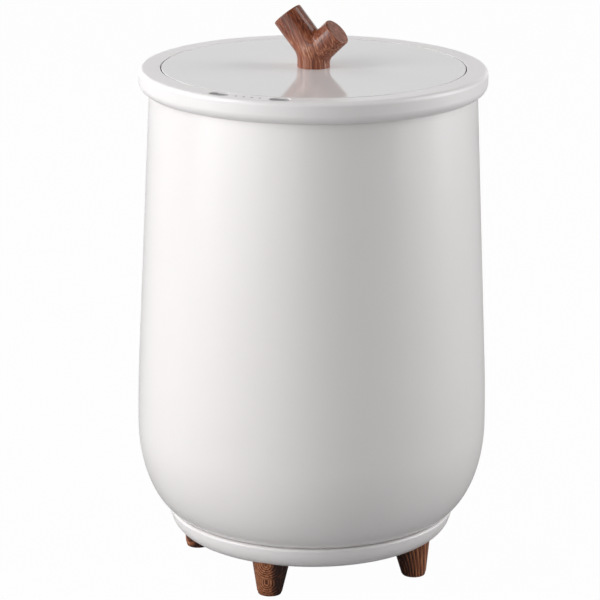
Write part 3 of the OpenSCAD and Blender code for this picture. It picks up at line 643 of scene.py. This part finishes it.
def shell_outline(inset=0.0):
    """Outside of the shell from the base's lip up, as (r, z) in millimetres.

    Below the belly r = belly - w (1 - sqrt(1 - (drop / h)^2)), over it r = belly - taper * rise^2 /
    (2 roll), and above the roll it falls along a straight line to the neck.
    """
    hip_h = BELLY_RISE + HIP_TUCK
    hip_w = (belly_r - mouth_r) / (1 - math.sqrt(1 - (BELLY_RISE / hip_h) ** 2))
    sink = np.sin(np.linspace(math.asin(BELLY_RISE / hip_h), 0, 49)) * hip_h
    hip = np.stack([belly_r - hip_w * (1 - np.sqrt(1 - (sink / hip_h) ** 2)), belly_z - sink], 1)
    taper = (belly_r - NECK_R) / (shell_top_z - belly_z - ROLL_H / 2)
    rise = np.linspace(0, ROLL_H, 25)[1:]
    roll = np.stack([belly_r - taper * rise**2 / (2 * ROLL_H), belly_z + rise], 1)
    t = np.linspace(0, 1, 9)[1:, None]
    wall = roll[-1] + t * (np.array([NECK_R, shell_top_z]) - roll[-1])
    return np.concatenate([hip, roll, wall]) - [inset, 0]


SCREW_HOLE_R = 1.6
BASE_SCREWS = [(104.0, a) for a in (42, 138, -138, -42)]
RING_SCREWS = [(136.425, a) for a in range(30, 390, 60)]
CABLE_HOLE, CABLE_HOLE_R = (137.6, 0), 2.5


def rods(name, places, radius, low, high, sides=32):
    """Upright rods for drilling holes or adding posts, at (r, angle) places.

    Each is turned about itself by an angle that grows with its radius, because a cut is clean only
    where no two edges coincide, such as those of a post and of the hole down its middle.
    """
    profile = [(0, low), (radius, low), (radius, high), (0, high)]
    odd_turn = Matrix.Rotation(0.0371 * radius, 4, "Z")
    return joined(name, [place(turned(name, profile, sides), odd_turn, standing(*spot)) for spot in places])


outside = shell_outline()
inside = shell_outline(SHELL_T)[::-1]
body_profile = np.concatenate([
    outside, [(NECK_R, shell_flange_z), (NECK_IN, shell_flange_z), (NECK_IN, shell_top_z)], inside,
    [(mouth_r - SHELL_T, shell_foot_z + SHELL_T), (FLANGE_IN, shell_foot_z + SHELL_T),
     (FLANGE_IN, shell_foot_z), (mouth_r, shell_foot_z)]])
body = turned("body_shell", body_profile, 288, loop=True)
combine(body, "DIFFERENCE",
        rods("base_holes", BASE_SCREWS, SCREW_HOLE_R, shell_foot_z - PAST, shell_foot_z + SHELL_T + PAST),
        rods("ring_holes", RING_SCREWS, SCREW_HOLE_R, shell_top_z - PAST, shell_flange_z + PAST),
        rods("cable_hole", [CABLE_HOLE], CABLE_HOLE_R, shell_top_z - PAST, shell_flange_z + PAST))
dress(body, "housing", "shell_white", "outer_shell")

# %% [markdown]
# ## The base
#
# A shallow dish under the barrel, moulded in the same white. Its side is a quarter of an ellipse
# from the flat floor up to the lip, and the lip's outer edge is softened by two millimetres,
# which catches the light as a thin bright line. Posts for screws stand on its floor, vents and screw
# recesses go through it, and the cord gland has a bore in its back wall.

# %% Piece: base
BASE_CURVE = 18.0
PAN_T = 2.6
LIP_ROUND = 2.2
FLOOR_R = 107.87
GLAND_A = 204.0
GLAND_Z = 38.6
GLAND_R = 5.8
RECESS_R, RECESS_H = 3.5, 3.0
BOLT_HOLE_R = 3.1
SHIELD_HOLE_H = 9.0
FOOT_ANGLES = {"front": 2.6, "right": 83.6, "back": 182.6, "left": -78.4}
FOOT_TOP_R = 101.9
floor_z = base_z + PAN_T


def base_outline(edge=LIP_ROUND):
    """Outside of the base from its axis to its lip; the last point is on the lip's outer side."""
    curve = arc((lip_r - BASE_CURVE, lip_z), BASE_CURVE, lip_z - base_z, -90, 0, 32)
    curve = curve[curve[:, 1] < lip_z - edge]
    return np.concatenate([[(0, base_z)], curve, [(lip_r - 0.01, lip_z - edge)]])


def oblong(length, width, grow, z, sides=48):
    """A ring of points round a bar with round ends, lying along X, grown outwards by grow."""
    t = (np.arange(sides) + 0.5) * 2 * math.pi / sides
    x = np.sign(np.cos(t)) * (length - width) / 2 + (width / 2 + grow) * np.cos(t)
    return np.stack([x, (width / 2 + grow) * np.sin(t), np.full(sides, z)], 1)


def slug(name, length, width, levels, sides=48):
    """A closed bar with round ends, with a ring for each (growth, height), for a cap or a cutter."""
    rings = [oblong(length, width, grow, z, sides) for grow, z in levels]
    ends = [np.tile([0, 0, level[1]], (sides, 1)) for level in (levels[0], levels[-1])]
    return skin(name, np.stack([ends[0], *rings, ends[1]]))


lip_edge = arc((lip_r - LIP_ROUND, lip_z - LIP_ROUND), LIP_ROUND, LIP_ROUND, 0, 90, 8)
inner_curve = arc((FLOOR_R, shell_foot_z), mouth_r - SHELL_T - 1 - FLOOR_R, shell_foot_z - floor_z,
                  0, -90, 16)
base_profile = np.concatenate([
    base_outline(), lip_edge, [(lip_r - LIP_T + 0.3, lip_z), (lip_r - LIP_T, lip_z - 0.3),
                               (lip_r - LIP_T, shell_foot_z)], inner_curve, [(0, floor_z)]])
base = turned("base_dish", base_profile, 256)
POST_R, SINK = 4.5, 0.5  # a post starts SINK inside the floor, so that they merge
SHIELD_POSTS = [(88.0, a) for a in (45, 135, -135, -45)]
BOARD_SPOTS = [(x, y) for x in (-45, 45) for y in (17, 63)]
board_posts = [(math.hypot(x, y), math.degrees(math.atan2(x, -y))) for x, y in BOARD_SPOTS]
shield_z = corners("heat_shield")[0][2]
board_z = corners("power_board")[0][2]
combine(base, "UNION",
        rods("base_posts", BASE_SCREWS, POST_R, floor_z - SINK, shell_foot_z),
        rods("shield_posts", SHIELD_POSTS, POST_R, floor_z - SINK, shield_z),
        rods("board_posts", board_posts, POST_R, floor_z - SINK, board_z))
VENT_L, VENT_W, VENT_RING_R, VENTS = 16.0, 3.2, 60.0, 12
vents = joined("vents", [
    place(slug("vent", VENT_L, VENT_W, [(0, base_z - PAST), (0, floor_z + PAST)], 24),
          Matrix.Rotation(math.pi / 2, 4, "Z"), standing(VENT_RING_R, 360 / VENTS * k))
    for k in range(VENTS)])
gland_bore = place(turned("gland_bore", [(0, FLOOR_R - PAST), (GLAND_R + FIT_GAP, FLOOR_R - PAST),
                                         (GLAND_R + FIT_GAP, 2 * lip_r), (0, 2 * lip_r)], 48),
                   Matrix.Rotation(math.pi / 2, 4, "X"), standing(0, GLAND_A, GLAND_Z))
combine(base, "DIFFERENCE",
        rods("base_screw_holes", BASE_SCREWS, SCREW_HOLE_R, base_z + 1, shell_foot_z + PAST),
        rods("recesses", BASE_SCREWS, RECESS_R, base_z - PAST, base_z + RECESS_H),
        rods("shield_holes", SHIELD_POSTS, SCREW_HOLE_R, shield_z - SHIELD_HOLE_H, shield_z + PAST),
        rods("board_holes", board_posts, SCREW_HOLE_R, floor_z, board_z + PAST),
        rods("stud_holes", [(FOOT_TOP_R, a) for a in FOOT_ANGLES.values()], BOLT_HOLE_R, base_z - PAST,
             floor_z + PAST),
        vents, gland_bore)
dress(base, "housing", "ring_white", "base_pan")

# %% [markdown]
# ## The top ring
#
# A hollow moulding that rolls in under itself to meet the shell, with a soft upper edge, the lid's
# seat and the shelf that the pot hangs on. It is turned like the shell. The openings for the buttons
# and the lights are cut by slugs that flare at their top, which leaves a small bevel round each
# opening, as a moulding has.

# %% Piece: top ring
RING_T = 2.5
RING_ROUND = 4.0
SEAM_ROUND = 0.6
SEAT_R = 132.9
SHELF_IN = 124.2
SHELF_Z = 441.0
CHANNEL_IN = SEAT_R + RING_T
PANEL_R = 141.4
RING_POST_R, PANEL_POST_R = 3.25, 2.5
RING_HOLE_H, PANEL_HOLE_H = 10.0, 5.5
BUTTON_A = 11.2
BUTTON_L = 17.6
BUTTON_W = 10.8
CAP_GAP = 0.35
LIGHT_D = 2.4
LIGHT_ANGLES = [-4.35, -1.45, 1.45, 4.35]
under_roll = ring_r - NECK_R - FIT_GAP
roll_at = (NECK_R + FIT_GAP, shell_top_z + under_roll)
edge_at = (ring_r - RING_ROUND, top_z - RING_ROUND)
seam_at = (SEAT_R + SEAM_ROUND, top_z - SEAM_ROUND)
ring_profile = np.concatenate([
    arc(roll_at, under_roll, under_roll, -90, 0, 20),
    arc(edge_at, RING_ROUND, RING_ROUND, 0, 90, 16),
    arc(seam_at, SEAM_ROUND, SEAM_ROUND, 90, 180, 8),
    [(SEAT_R, SHELF_Z)],
    rounded([(SEAT_R, SHELF_Z), (SHELF_IN, SHELF_Z, 0.5), (SHELF_IN, SHELF_Z - RING_T, 0.5),
             (CHANNEL_IN, SHELF_Z - RING_T)])[1:],
    [(CHANNEL_IN, top_z - RING_T)],
    arc(edge_at, RING_ROUND - RING_T, RING_ROUND - RING_T, 90, 0, 8),
    arc(roll_at, under_roll - RING_T, under_roll - RING_T, 0, -90, 12)])
ring = turned("top_ring", ring_profile, 288, loop=True)
PANEL_POSTS = [(PANEL_R, a) for a in (-19, 19)]
panel_top_z = corners("control_board")[1][2]
combine(ring, "UNION",
        rods("ring_posts", RING_SCREWS, RING_POST_R, shell_flange_z, top_z - RING_T / 2),
        rods("panel_posts", PANEL_POSTS, PANEL_POST_R, panel_top_z, top_z - RING_T / 2))
FLARE = 0.3
cut_from = top_z - RING_T - PAST


def opening(name, length, width):
    """A slug that cuts a straight opening and flares out by FLARE over the last FLARE below the top."""
    return slug(name, length, width, [(0, cut_from), (0, top_z - FLARE), (FLARE + 0.2, top_z + 0.2)])


button_cuts = joined("button_cuts", [
    place(opening("cut", BUTTON_L + 2 * CAP_GAP, BUTTON_W + 2 * CAP_GAP), standing(PANEL_R, a))
    for a in (-BUTTON_A, BUTTON_A)])
light_hole = LIGHT_D + FIT_GAP
light_cuts = joined("light_cuts", [
    place(slug("cut", light_hole, light_hole, [(0, cut_from), (0, top_z + PAST)]), standing(PANEL_R, a))
    for a in LIGHT_ANGLES])
combine(ring, "DIFFERENCE", button_cuts, light_cuts,
        rods("ring_screw_holes", RING_SCREWS, SCREW_HOLE_R, shell_flange_z - PAST,
             shell_flange_z + RING_HOLE_H),
        rods("panel_screw_holes", PANEL_POSTS, SCREW_HOLE_R, panel_top_z - PAST, panel_top_z + PANEL_HOLE_H))
dress(ring, "housing", "ring_white", "rim_ring")

# %% [markdown]
# ## Buttons and light windows
#
# Each button is an oblong cap with a spherical dish in its top, deepest in the middle and running
# out at the two ends. The dish's height is that of a ball resting in the cap: z = R - sqrt(R^2 -
# d^2) above its lowest point, at the distance d from the middle. The cap's rings shrink towards the
# middle. Two ears below keep it under the ring, and a plunger reaches the switch.

# %% Pieces: buttons and light windows
CAP_SINK = 0.4
DISH = 1.1
CAP_EDGE = 0.35
EAR_W, EAR_T, EAR_GAP = 1.4, 1.2, 0.3
PLUNGER_W = 3.2
WINDOW_EDGE = 0.15
ball_r = ((BUTTON_L / 2) ** 2 + DISH**2) / (2 * DISH)
cap_low_z = corners("power_button")[0][2]
ear_z = top_z - RING_T - EAR_GAP - EAR_T
cap_top = top_z - CAP_SINK


def dish_height(x, y):
    """Height of the dished top over the cap's plane."""
    d2 = np.minimum(x**2 + y**2, (BUTTON_L / 2) ** 2)
    return cap_top - DISH + ball_r - np.sqrt(ball_r**2 - d2)


def button_cap(name, angle):
    """A cap: up its side, over a softened edge, then rings that shrink to the dish's middle."""
    sides = 96
    rings = [oblong(BUTTON_L, BUTTON_W, 0, ear_z, sides)]
    for k in np.linspace(0, 90, 7):
        inset = CAP_EDGE * (1 - math.cos(math.radians(k)))
        ring_at = oblong(BUTTON_L, BUTTON_W, -inset, 0.0, sides)
        ring_at[:, 2] = dish_height(ring_at[:, 0], ring_at[:, 1]) - CAP_EDGE * (1 - math.sin(math.radians(k)))
        rings.append(ring_at)
    top = oblong(BUTTON_L, BUTTON_W, -CAP_EDGE, 0.0, sides)
    for shrink in np.linspace(0.94, 0.06, 23):
        ring_at = top * [shrink, shrink, 0]
        ring_at[:, 2] = dish_height(ring_at[:, 0], ring_at[:, 1])
        rings.append(ring_at)
    poles = [np.tile([0, 0, z], (sides, 1)) for z in (ear_z, cap_top - DISH)]
    cap = skin(name, np.stack([poles[0], *rings, poles[1]]))
    ears = slug("ears", BUTTON_L + 2 * EAR_W, BUTTON_W / 2, [(0, ear_z), (0, ear_z + EAR_T)])
    plunger = slug("plunger", PLUNGER_W, PLUNGER_W, [(0, cap_low_z), (0, ear_z + 0.5)])
    combine(cap, "UNION", ears, plunger)
    return place(cap, standing(PANEL_R, angle))


for side, angle in (("power", -BUTTON_A), ("timer", BUTTON_A)):
    cap = button_cap(f"{side}_cap", angle)
    dress(cap, f"{side}_button", "button_grey", f"{side}_button")

window_low = corners("light_pipes")[0][2]
windows = joined("light_windows", [
    place(slug("window", LIGHT_D, LIGHT_D, [
        (-WINDOW_EDGE, window_low), (0, window_low + WINDOW_EDGE), (0, top_z - WINDOW_EDGE),
        (-WINDOW_EDGE, top_z)], 32), standing(PANEL_R, a)) for a in LIGHT_ANGLES])
dress(windows, "housing", "light_window", "light_pipes")

# %% [markdown]
# ## The lid
#
# The cover is a flat round moulding, polished to a high gloss, with a short rim that drops into the
# seam. A steel bolt comes through its middle into the handle. Underneath, an aluminium liner holds
# the insulation, and a silicone seal lies on the pot's flange.

# %% Pieces: lid cover, liner and seal
COVER_T = 2.8
RIM_T = 2.2
RIM_H = 5.2
LINER_R = 120.0
LINER_T = 1.5
cover_under = top_z - COVER_T
liner_z = corners("lid_liner")[0][2]
LID_SCREWS = [(96.0, a) for a in (45, 135, 225, 315)]
BOSS_R, BOSS_HOLE_H = 4.0, 8.0
cover = turned("lid_top", rounded([
    (0, cover_under), (lid_r - RIM_T, cover_under, 0.4), (lid_r - RIM_T, top_z - RIM_H, 0.5),
    (lid_r, top_z - RIM_H, 0.5), (lid_r, top_z, SEAM_ROUND), (0, top_z)], 8), 256)
combine(cover, "UNION", rods("lid_bosses", LID_SCREWS, BOSS_R, liner_z + LINER_T, cover_under + 0.5))
combine(cover, "DIFFERENCE", rods("bolt_hole", [(0, 0)], BOLT_HOLE_R, cover_under - PAST, top_z + PAST),
        rods("boss_holes", LID_SCREWS, SCREW_HOLE_R, liner_z + LINER_T - PAST,
             liner_z + LINER_T + BOSS_HOLE_H))
dress(cover, "lid", "lid_white", "lid_cover")

liner = turned("lid_liner_pan", rounded([
    (0, liner_z), (LINER_R, liner_z, 2.0), (LINER_R, cover_under), (LINER_R - LINER_T, cover_under),
    (LINER_R - LINER_T, liner_z + LINER_T, 0.5), (0, liner_z + LINER_T)], 8), 192)
combine(liner, "DIFFERENCE",
        rods("liner_holes", LID_SCREWS, SCREW_HOLE_R, liner_z - PAST, liner_z + LINER_T + PAST))
dress(liner, "lid", "pot_metal", "lid_liner")

seal_low, seal_high = corners("lid_seal")
seal_in, seal_out = seal_high[0] - 4.8, seal_high[0]
seal_mid = (seal_in + seal_out) / 2
seal = turned("lid_gasket", rounded([
    (seal_in, seal_low[2], 1.0), (seal_mid - 0.9, seal_low[2], 0.3), (seal_mid, seal_low[2] + 0.9, 0.5),
    (seal_mid + 0.9, seal_low[2], 0.3), (seal_out, seal_low[2], 1.0), (seal_out, seal_high[2], 0.3),
    (seal_in, seal_high[2], 0.3)], 5), 192, loop=True)
dress(seal, "lid", "silicone", "lid_seal")

# %% [markdown]
# ## The handle
#
# The handle looks like a forked twig: a neck that splits into a long arm and a short one, sanded
# round. Three bars alone would meet in hard creases. So the shape is written as a distance: every
# bar has a formula for how far a point is from its skin, and a smooth minimum joins the three with a
# small fillet. A first mesh of joined bars is remeshed evenly, then every point slides down the
# distance's slope until it lies on the skin. The foot is cut flat on the lid, with the bolt's bore.

# %% Handle: distance to its skin
NECK = dict(radius=14.3, root=14.4)
ARMS = {"long": dict(root=14.4, lean=-40.0, radius=13.65, length=39.2),
        "short": dict(root=11.1, lean=46.0, radius=12.9, length=30.7)}
ARM_EDGE = 1.2
FILLET = 3.0


def arm_frame(points, root, lean):
    """Distances along an arm's axis and across it: in the fork's plane, and out of it."""
    a = math.radians(lean)
    rel = points - [0, 0, top_z + root]
    along = rel @ [math.sin(a), 0, math.cos(a)]
    across = rel @ [math.cos(a), 0, -math.sin(a)]
    return along, across, rel[:, 1]


def arm_distance(points, root, lean, radius, length):
    """Signed distance to a round bar with softened ends, negative inside."""
    along, across, depth = arm_frame(points, root, lean)
    side = np.hypot(across, depth) - (radius - ARM_EDGE)
    end = np.abs(along - length / 2) - (length / 2 - ARM_EDGE)
    inside_part = np.minimum(np.maximum(side, end), 0)
    return inside_part + np.hypot(np.maximum(side, 0), np.maximum(end, 0)) - ARM_EDGE


def neck_distance(points):
    """Signed distance to the neck: a round bar from below the lid's face, with a domed top."""
    rel = points - [0, 0, top_z + NECK["root"]]
    return np.hypot(np.hypot(rel[:, 0], rel[:, 1]), np.maximum(rel[:, 2], 0)) - NECK["radius"]


def smooth_min(a, b, width):
    """The smaller of two distances, rounded off where they are closer than width."""
    overlap = np.maximum(width - np.abs(a - b), 0) / width
    return np.minimum(a, b) - overlap**2 * width / 4


def fork_distance(points):
    """Signed distance to the whole fork."""
    arms = smooth_min(*[arm_distance(points, **arm) for arm in ARMS.values()], FILLET)
    return smooth_min(neck_distance(points), arms, FILLET)


def slide_to_skin(points, rounds=6, step=0.02):
    """Moves points down the distance's slope: each round takes distance / |slope|^2 times the slope."""
    for _ in range(rounds):
        value = fork_distance(points)
        slope = np.stack([(fork_distance(points + d) - fork_distance(points - d)) / (2 * step)
                          for d in np.eye(3) * step], 1)
        points = points - (value / np.maximum((slope**2).sum(1), 0.25))[:, None] * slope
    return points


depth = -fork_distance(np.array([[0.0, 0.0, top_z + 10.0]]))[0]
print(f"fork reaches {depth:.2f} mm in at its neck")

# %% Piece: handle


def mesh_points(mesh):
    """A mesh's points as an array in millimetres."""
    flat = np.empty(len(mesh.vertices) * 3, np.float32)
    mesh.vertices.foreach_get("co", flat)
    return flat.reshape(-1, 3).astype(float) / MM


def set_points(mesh, points):
    """Puts an array in millimetres back into a mesh's points."""
    mesh.vertices.foreach_set("co", (points * MM).astype(np.float32).ravel())
    mesh.update()


def set_grain(mesh, grain, darkening):
    """Stores where each point lies in its log, the third number along it, and how much it is darkened."""
    layer = mesh.attributes.new("grain", "FLOAT_VECTOR", "POINT")
    layer.data.foreach_set("vector", grain.astype(np.float32).ravel())
    layer = mesh.attributes.new("darkening", "FLOAT", "POINT")
    layer.data.foreach_set("value", darkening.astype(np.float32))


def first_bar(radius, low, high, lean):
    """A plain bar to start the handle's mesh from."""
    bar = turned("bar", [(0, low), (radius, low), (radius, high), (0, high)], 64)
    return place(bar, Matrix.Rotation(math.radians(lean), 4, "Y"))


BELOW_LID = 4.0
GRAIN_BEND, GRAIN_LEAN = 8.0, 0.42
BORE_H = 18.0
# The handle's arms darken towards their ends: from this height over the lid, over this run, by this much.
DARKEN_FROM, DARKEN_RUN, ARM_DARKENING = 22.0, 22.0, 0.22
bars = [place(first_bar(NECK["radius"], -BELOW_LID, NECK["root"] + 8, 0),
              Matrix.Translation((0, 0, top_z * MM)))]
bars += [place(first_bar(arm["radius"], 0, arm["length"], arm["lean"]),
               Matrix.Translation((0, 0, (top_z + arm["root"]) * MM))) for arm in ARMS.values()]
fork = joined("fork_handle", bars)
remesh = fork.modifiers.new("even mesh", "REMESH")
remesh.mode, remesh.voxel_size = "VOXEL", 0.55 * MM
applied(fork)
set_points(fork.data, slide_to_skin(mesh_points(fork.data)))
foot_cut = turned("foot_cut", [
    (0, top_z - 12), (30, top_z - 12), (30, top_z), (BOLT_HOLE_R, top_z), (BOLT_HOLE_R, top_z + BORE_H),
    (0, top_z + BORE_H)], 64)
combine(fork, "DIFFERENCE", foot_cut)


def block_grain(points):
    """Place in the block: straight up in the neck, and leaning towards the long arm above it.

    The lean grows as x + k (h + sqrt(h^2 + 9)) / 2, with h the height over the neck's bend.
    """
    high = points[:, 2] - top_z - GRAIN_BEND
    across = points[:, 0] + GRAIN_LEAN * (high + np.sqrt(high**2 + 9.0)) / 2
    return np.stack([across, points[:, 1], points[:, 2] - top_z], 1)


fork_points = mesh_points(fork.data)
rise = np.clip((fork_points[:, 2] - top_z - DARKEN_FROM) / DARKEN_RUN, 0, 1)
set_grain(fork.data, block_grain(fork_points), ARM_DARKENING * rise)
dress(fork, "lid", "walnut", "handle", sharp=60.0)

# %% [markdown]
# ## The feet
#
# Each foot is a turned taper that leans outwards by seven degrees and is coped to the curve of the
# base, so that no gap shows under the dish. A cone is turned about its own axis, leaned and set in
# place. Then the floor's plane with the pad's recess, the base's outside and the stud's bore are cut
# from it.

# %% Pieces: feet and floor pads
FOOT_STAND_R = 105.4
FOOT_TOP_D, FOOT_BOTTOM_D = 32.6, 20.4
FOOT_ROUND = 2.8
FOOT_COPE = 4.0
PAD_D, PAD_T, PAD_PROUD = 14.0, 2.0, 0.8
ARCH_X, ARCH_RISE, ARCH_STEP = 1.4, 13.5, 17.5
# Painted shade: how much a foot darkens on the side with less light (inward, or right on the front).
FOOT_PAINTED_SHADE = 0.5
foot_lean = math.atan((FOOT_STAND_R - FOOT_TOP_R) / base_z)


def foot_blank():
    """The leaning cone: its radius grows evenly with height over a rounded lower edge."""
    slope = (FOOT_TOP_D - FOOT_BOTTOM_D) / 2 / base_z
    low_r, tall = FOOT_BOTTOM_D / 2, base_z + 2 * FOOT_COPE
    edge = arc((low_r - FOOT_ROUND, FOOT_ROUND), FOOT_ROUND, FOOT_ROUND, -90, 0, 12)
    side_z = np.linspace(FOOT_ROUND, tall, 24)[1:]
    side = np.stack([low_r + slope * side_z, side_z], 1)
    blank = turned("foot", np.concatenate([[(0, 0)], edge, side, [(0, tall)]]), 96)
    sink = -low_r * math.tan(foot_lean) * MM
    return place(blank, Matrix.Translation((0, 0, sink)), Matrix.Rotation(-foot_lean, 4, "X"))


def foot_piece(side, angle):
    """One foot: the cone, cut by the floor, the base and the stud.

    The front foot shows arches, one nest above the other: below a nest's centre the ring number is
    the distance from it, and above it the distance from its middle line.
    """
    foot = place(foot_blank(), standing(FOOT_STAND_R, angle))
    pad_r = PAD_D / 2 + FIT_GAP
    floor_cut = place(turned("floor_cut", [
        (0, -9), (30, -9), (30, PAD_PROUD), (pad_r, PAD_PROUD), (pad_r, PAD_T), (0, PAD_T)], 64),
        standing(FOOT_STAND_R, angle))
    over_base = [(lip_r, lip_z + 20), (0, lip_z + 20)]
    base_cut = turned("base_cut", np.concatenate([base_outline(0.0), over_base]), 256)
    stud_cut = rods("stud_cut", [(FOOT_TOP_R, angle)], BOLT_HOLE_R, base_z - 19, base_z + 9)
    combine(foot, "DIFFERENCE", floor_cut, base_cut, stud_cut)
    foot.name = f"wood_foot_{side}"
    turn = np.array(Matrix.Rotation(-math.radians(angle), 3, "Z"))
    local = mesh_points(foot.data) @ turn.T + [0, FOOT_STAND_R, 0]
    if side == "front":
        sink = np.maximum(ARCH_RISE - np.mod(local[:, 2], ARCH_STEP), 0)
        grain = np.stack([local[:, 0] - ARCH_X, sink, local[:, 2]], 1)
        # Painted shade on the front foot's right side, which faces away from the light.
        painted_shade = (local[:, 0] - 5.5) / 4
    else:
        grain = local + [9.0, -6.0, 37.0 * list(FOOT_ANGLES).index(side)]
        # Painted shade on a side foot's inner side, in the shade under the barrel.
        painted_shade = (local[:, 1] + 7) / 12
    set_grain(foot.data, grain, FOOT_PAINTED_SHADE * np.clip(painted_shade, 0, 1))
    return foot


for side, angle in FOOT_ANGLES.items():
    dress(foot_piece(side, angle), "housing", "walnut", f"foot_{side}", finish=foot_wood, sharp=40.0)

pads = joined("floor_pads", [place(turned("pad", rounded([
    (0, 0), (PAD_D / 2, 0, 0.3), (PAD_D / 2, PAD_T, 0.3), (0, PAD_T)]), 64), standing(FOOT_STAND_R, a))
    for a in FOOT_ANGLES.values()])
dress(pads, "housing", "black_rubber", "foot_pads")

# %% [markdown]
# ## The pot and the cord gland
#
# With the lid off, the pot shows: a spun aluminium bucket with a rolled corner at its floor and a
# narrow flange that hangs on the ring's shelf. The gland is the rubber sleeve in the back wall of
# the base that the cord leaves through. Its tail has ribs, so that the cord bends gently.

# %% Pieces: pot and cord gland
POT_R = 122.0
POT_T = 1.2
POT_CORNER = 10.0
pot_floor = pot_under_z + POT_T
corner_at = (POT_R - POT_CORNER, pot_floor + POT_CORNER)
pot = turned("towel_pot", np.concatenate([
    [(0, pot_under_z)],
    arc(corner_at, POT_CORNER + POT_T, POT_CORNER + POT_T, -90, 0, 16),
    [(POT_R + POT_T, SHELF_Z), (pot_flange_r, SHELF_Z), (pot_flange_r, pot_top_z)],
    rounded([(pot_flange_r, pot_top_z), (POT_R, pot_top_z, 1.0), (POT_R, pot_floor + 20)])[1:],
    arc(corner_at, POT_CORNER, POT_CORNER, 0, -90, 16),
    [(0, pot_floor)]]), 256)
dress(pot, "housing", "pot_metal", "inner_pot")

CORD_HOLE_R = 3.6
GLAND_L, GLAND_FLANGE_T, GLAND_TAIL = 14.0, 2.0, 10.0
tail_from = lip_r + GLAND_FLANGE_T
ribs = np.array([(GLAND_R + (CORD_HOLE_R + 1.3 - GLAND_R) * t - 0.7 * (k % 2), tail_from + GLAND_TAIL * t)
                 for k, t in enumerate(np.repeat(np.linspace(0.1, 0.9, 9), 2)[:-1])])
gland = turned("cord_sleeve", np.concatenate([
    [(CORD_HOLE_R, lip_r - GLAND_L), (GLAND_R, lip_r - GLAND_L), (GLAND_R, lip_r), (GLAND_R + 1.7, lip_r),
     (GLAND_R + 1.7, tail_from - 0.4), (GLAND_R + 1.3, tail_from), (GLAND_R, tail_from)],
    ribs, [(CORD_HOLE_R + 1.3, tail_from + GLAND_TAIL), (CORD_HOLE_R, tail_from + GLAND_TAIL)]]), 64,
    loop=True)
place(gland, Matrix.Rotation(math.pi / 2, 4, "X"), standing(0, GLAND_A, GLAND_Z))
dress(gland, "housing", "black_rubber", "cord_gland")

# %% [markdown]
# ## The parts inside
#
# Screws, boards, the heating belt and the insulation keep their CAD shape. Each gets the finish that
# the record's slot names.

# %% Materials on the CAD nodes that stay
slot_of = {part["node"]: part["material_slot"] for part in frame["record"]["subparts"]}
kept = [name for name, node in frame["nodes"].items() if not node.hide_render]
for name in kept:
    data = frame["nodes"][name].data
    data.materials.clear()
    data.materials.append(finishes[slot_of[name]])
print("CAD nodes with a finish:", len(kept), kept)

# %% [markdown]
# ## The studio
#
# The photograph is a cut-out on pure white, lit by large soft panels. Here three tall ones stand on
# the left, behind it and on the right, nine low ones stand round the barrel, and a white wall behind
# is mirrored in the polished lid. Their strengths were fitted to the tones of the photograph and then
# rounded. The camera sees the floor and the air as plain white, through the Light Path node, while
# the object sees a dimmer room, so that its own shading stays soft.

# %% Floor, air and lights
floor = turned("studio_floor", [
    (0, -20), (12000, -20), (12000, 0), (1000, 0), (200, 0), (0, 0)], 64)
material, tree, shader = new_material("pale studio floor")
grain = noise(tree, put(tree, "ShaderNodeTexCoord").outputs["Object"], 40.0, 4.0)
tree.links.new(blend(tree, grain, (0.33, 0.33, 0.33, 1), (0.37, 0.37, 0.37, 1)), shader.inputs["Base Color"])
set_sockets(shader, Roughness=0.9)
glow = put(tree, "ShaderNodeEmission", {"Color": (1, 1, 1, 1), "Strength": 1.0})
seen = put(tree, "ShaderNodeLightPath").outputs["Is Camera Ray"]
share = times(tree, seen, 0.98)
mixed = put(tree, "ShaderNodeMixShader", {0: share, 1: shader.outputs[0], 2: glow.outputs[0]})
tree.links.new(mixed.outputs[0], tree.nodes["Material Output"].inputs["Surface"])
floor.data.materials.append(material)

ROOM = 0.02
world = bpy.data.worlds.new("studio air")
scene.world = world
world.use_nodes = True
tree = world.node_tree
tree.nodes.clear()
white = put(tree, "ShaderNodeBackground", {"Color": (1, 1, 1, 1), "Strength": 1.0})
room = put(tree, "ShaderNodeBackground", {"Color": (1, 1, 1, 1), "Strength": ROOM})
seen = put(tree, "ShaderNodeLightPath").outputs["Is Camera Ray"]
both = put(tree, "ShaderNodeMixShader", {0: seen, 1: room.outputs[0], 2: white.outputs[0]})
put(tree, "ShaderNodeOutputWorld", {"Surface": both.outputs[0]})

# Radiance of each upright panel, by its degrees round from the camera's side, and sizes in metres.
TALL_PANELS = {-120: 2.9, -70: 4.5, 95: 3.75}
LOW_PANELS = {-150: 0.9, -70: 1.55, -45: 2.3, -20: 1.25, 45: 0.2, 70: 1.45, 95: 1.4, 120: 0.8, 150: 0.35}
TALL_SHAPE = dict(distance=2.4, height=1.45, width=1.1, tall=2.8)
LOW_SHAPE = dict(distance=2.2, height=0.75, width=1.0, tall=2.2)
AIM_Z = 0.25


def softbox(name, bearing, radiance, distance, height, width, tall):
    """A flat panel that faces the barrel's middle; its power is radiance times pi times its area."""
    data = bpy.data.lights.new(name, "AREA")
    data.shape, data.size, data.size_y = "RECTANGLE", width, tall
    data.energy = radiance * math.pi * width * tall
    lamp = bpy.data.objects.new(name, data)
    angle = math.degrees(BEARING) + bearing
    lamp.location = polar(distance, angle, height)
    aim = Vector((0, 0, AIM_Z)) - lamp.location
    lamp.rotation_euler = aim.to_track_quat("-Z", "Y").to_euler()
    scene.collection.objects.link(lamp)


for bearing, radiance in TALL_PANELS.items():
    softbox(f"tall_panel_{bearing:+04d}", bearing, radiance, **TALL_SHAPE)
for bearing, radiance in LOW_PANELS.items():
    softbox(f"low_panel_{bearing:+04d}", bearing, radiance, **LOW_SHAPE)
softbox("wall_behind", 180, 0.8, distance=3.2, height=0.95, width=4.0, tall=2.6)
print("panels:", len(TALL_PANELS) + len(LOW_PANELS) + 1)
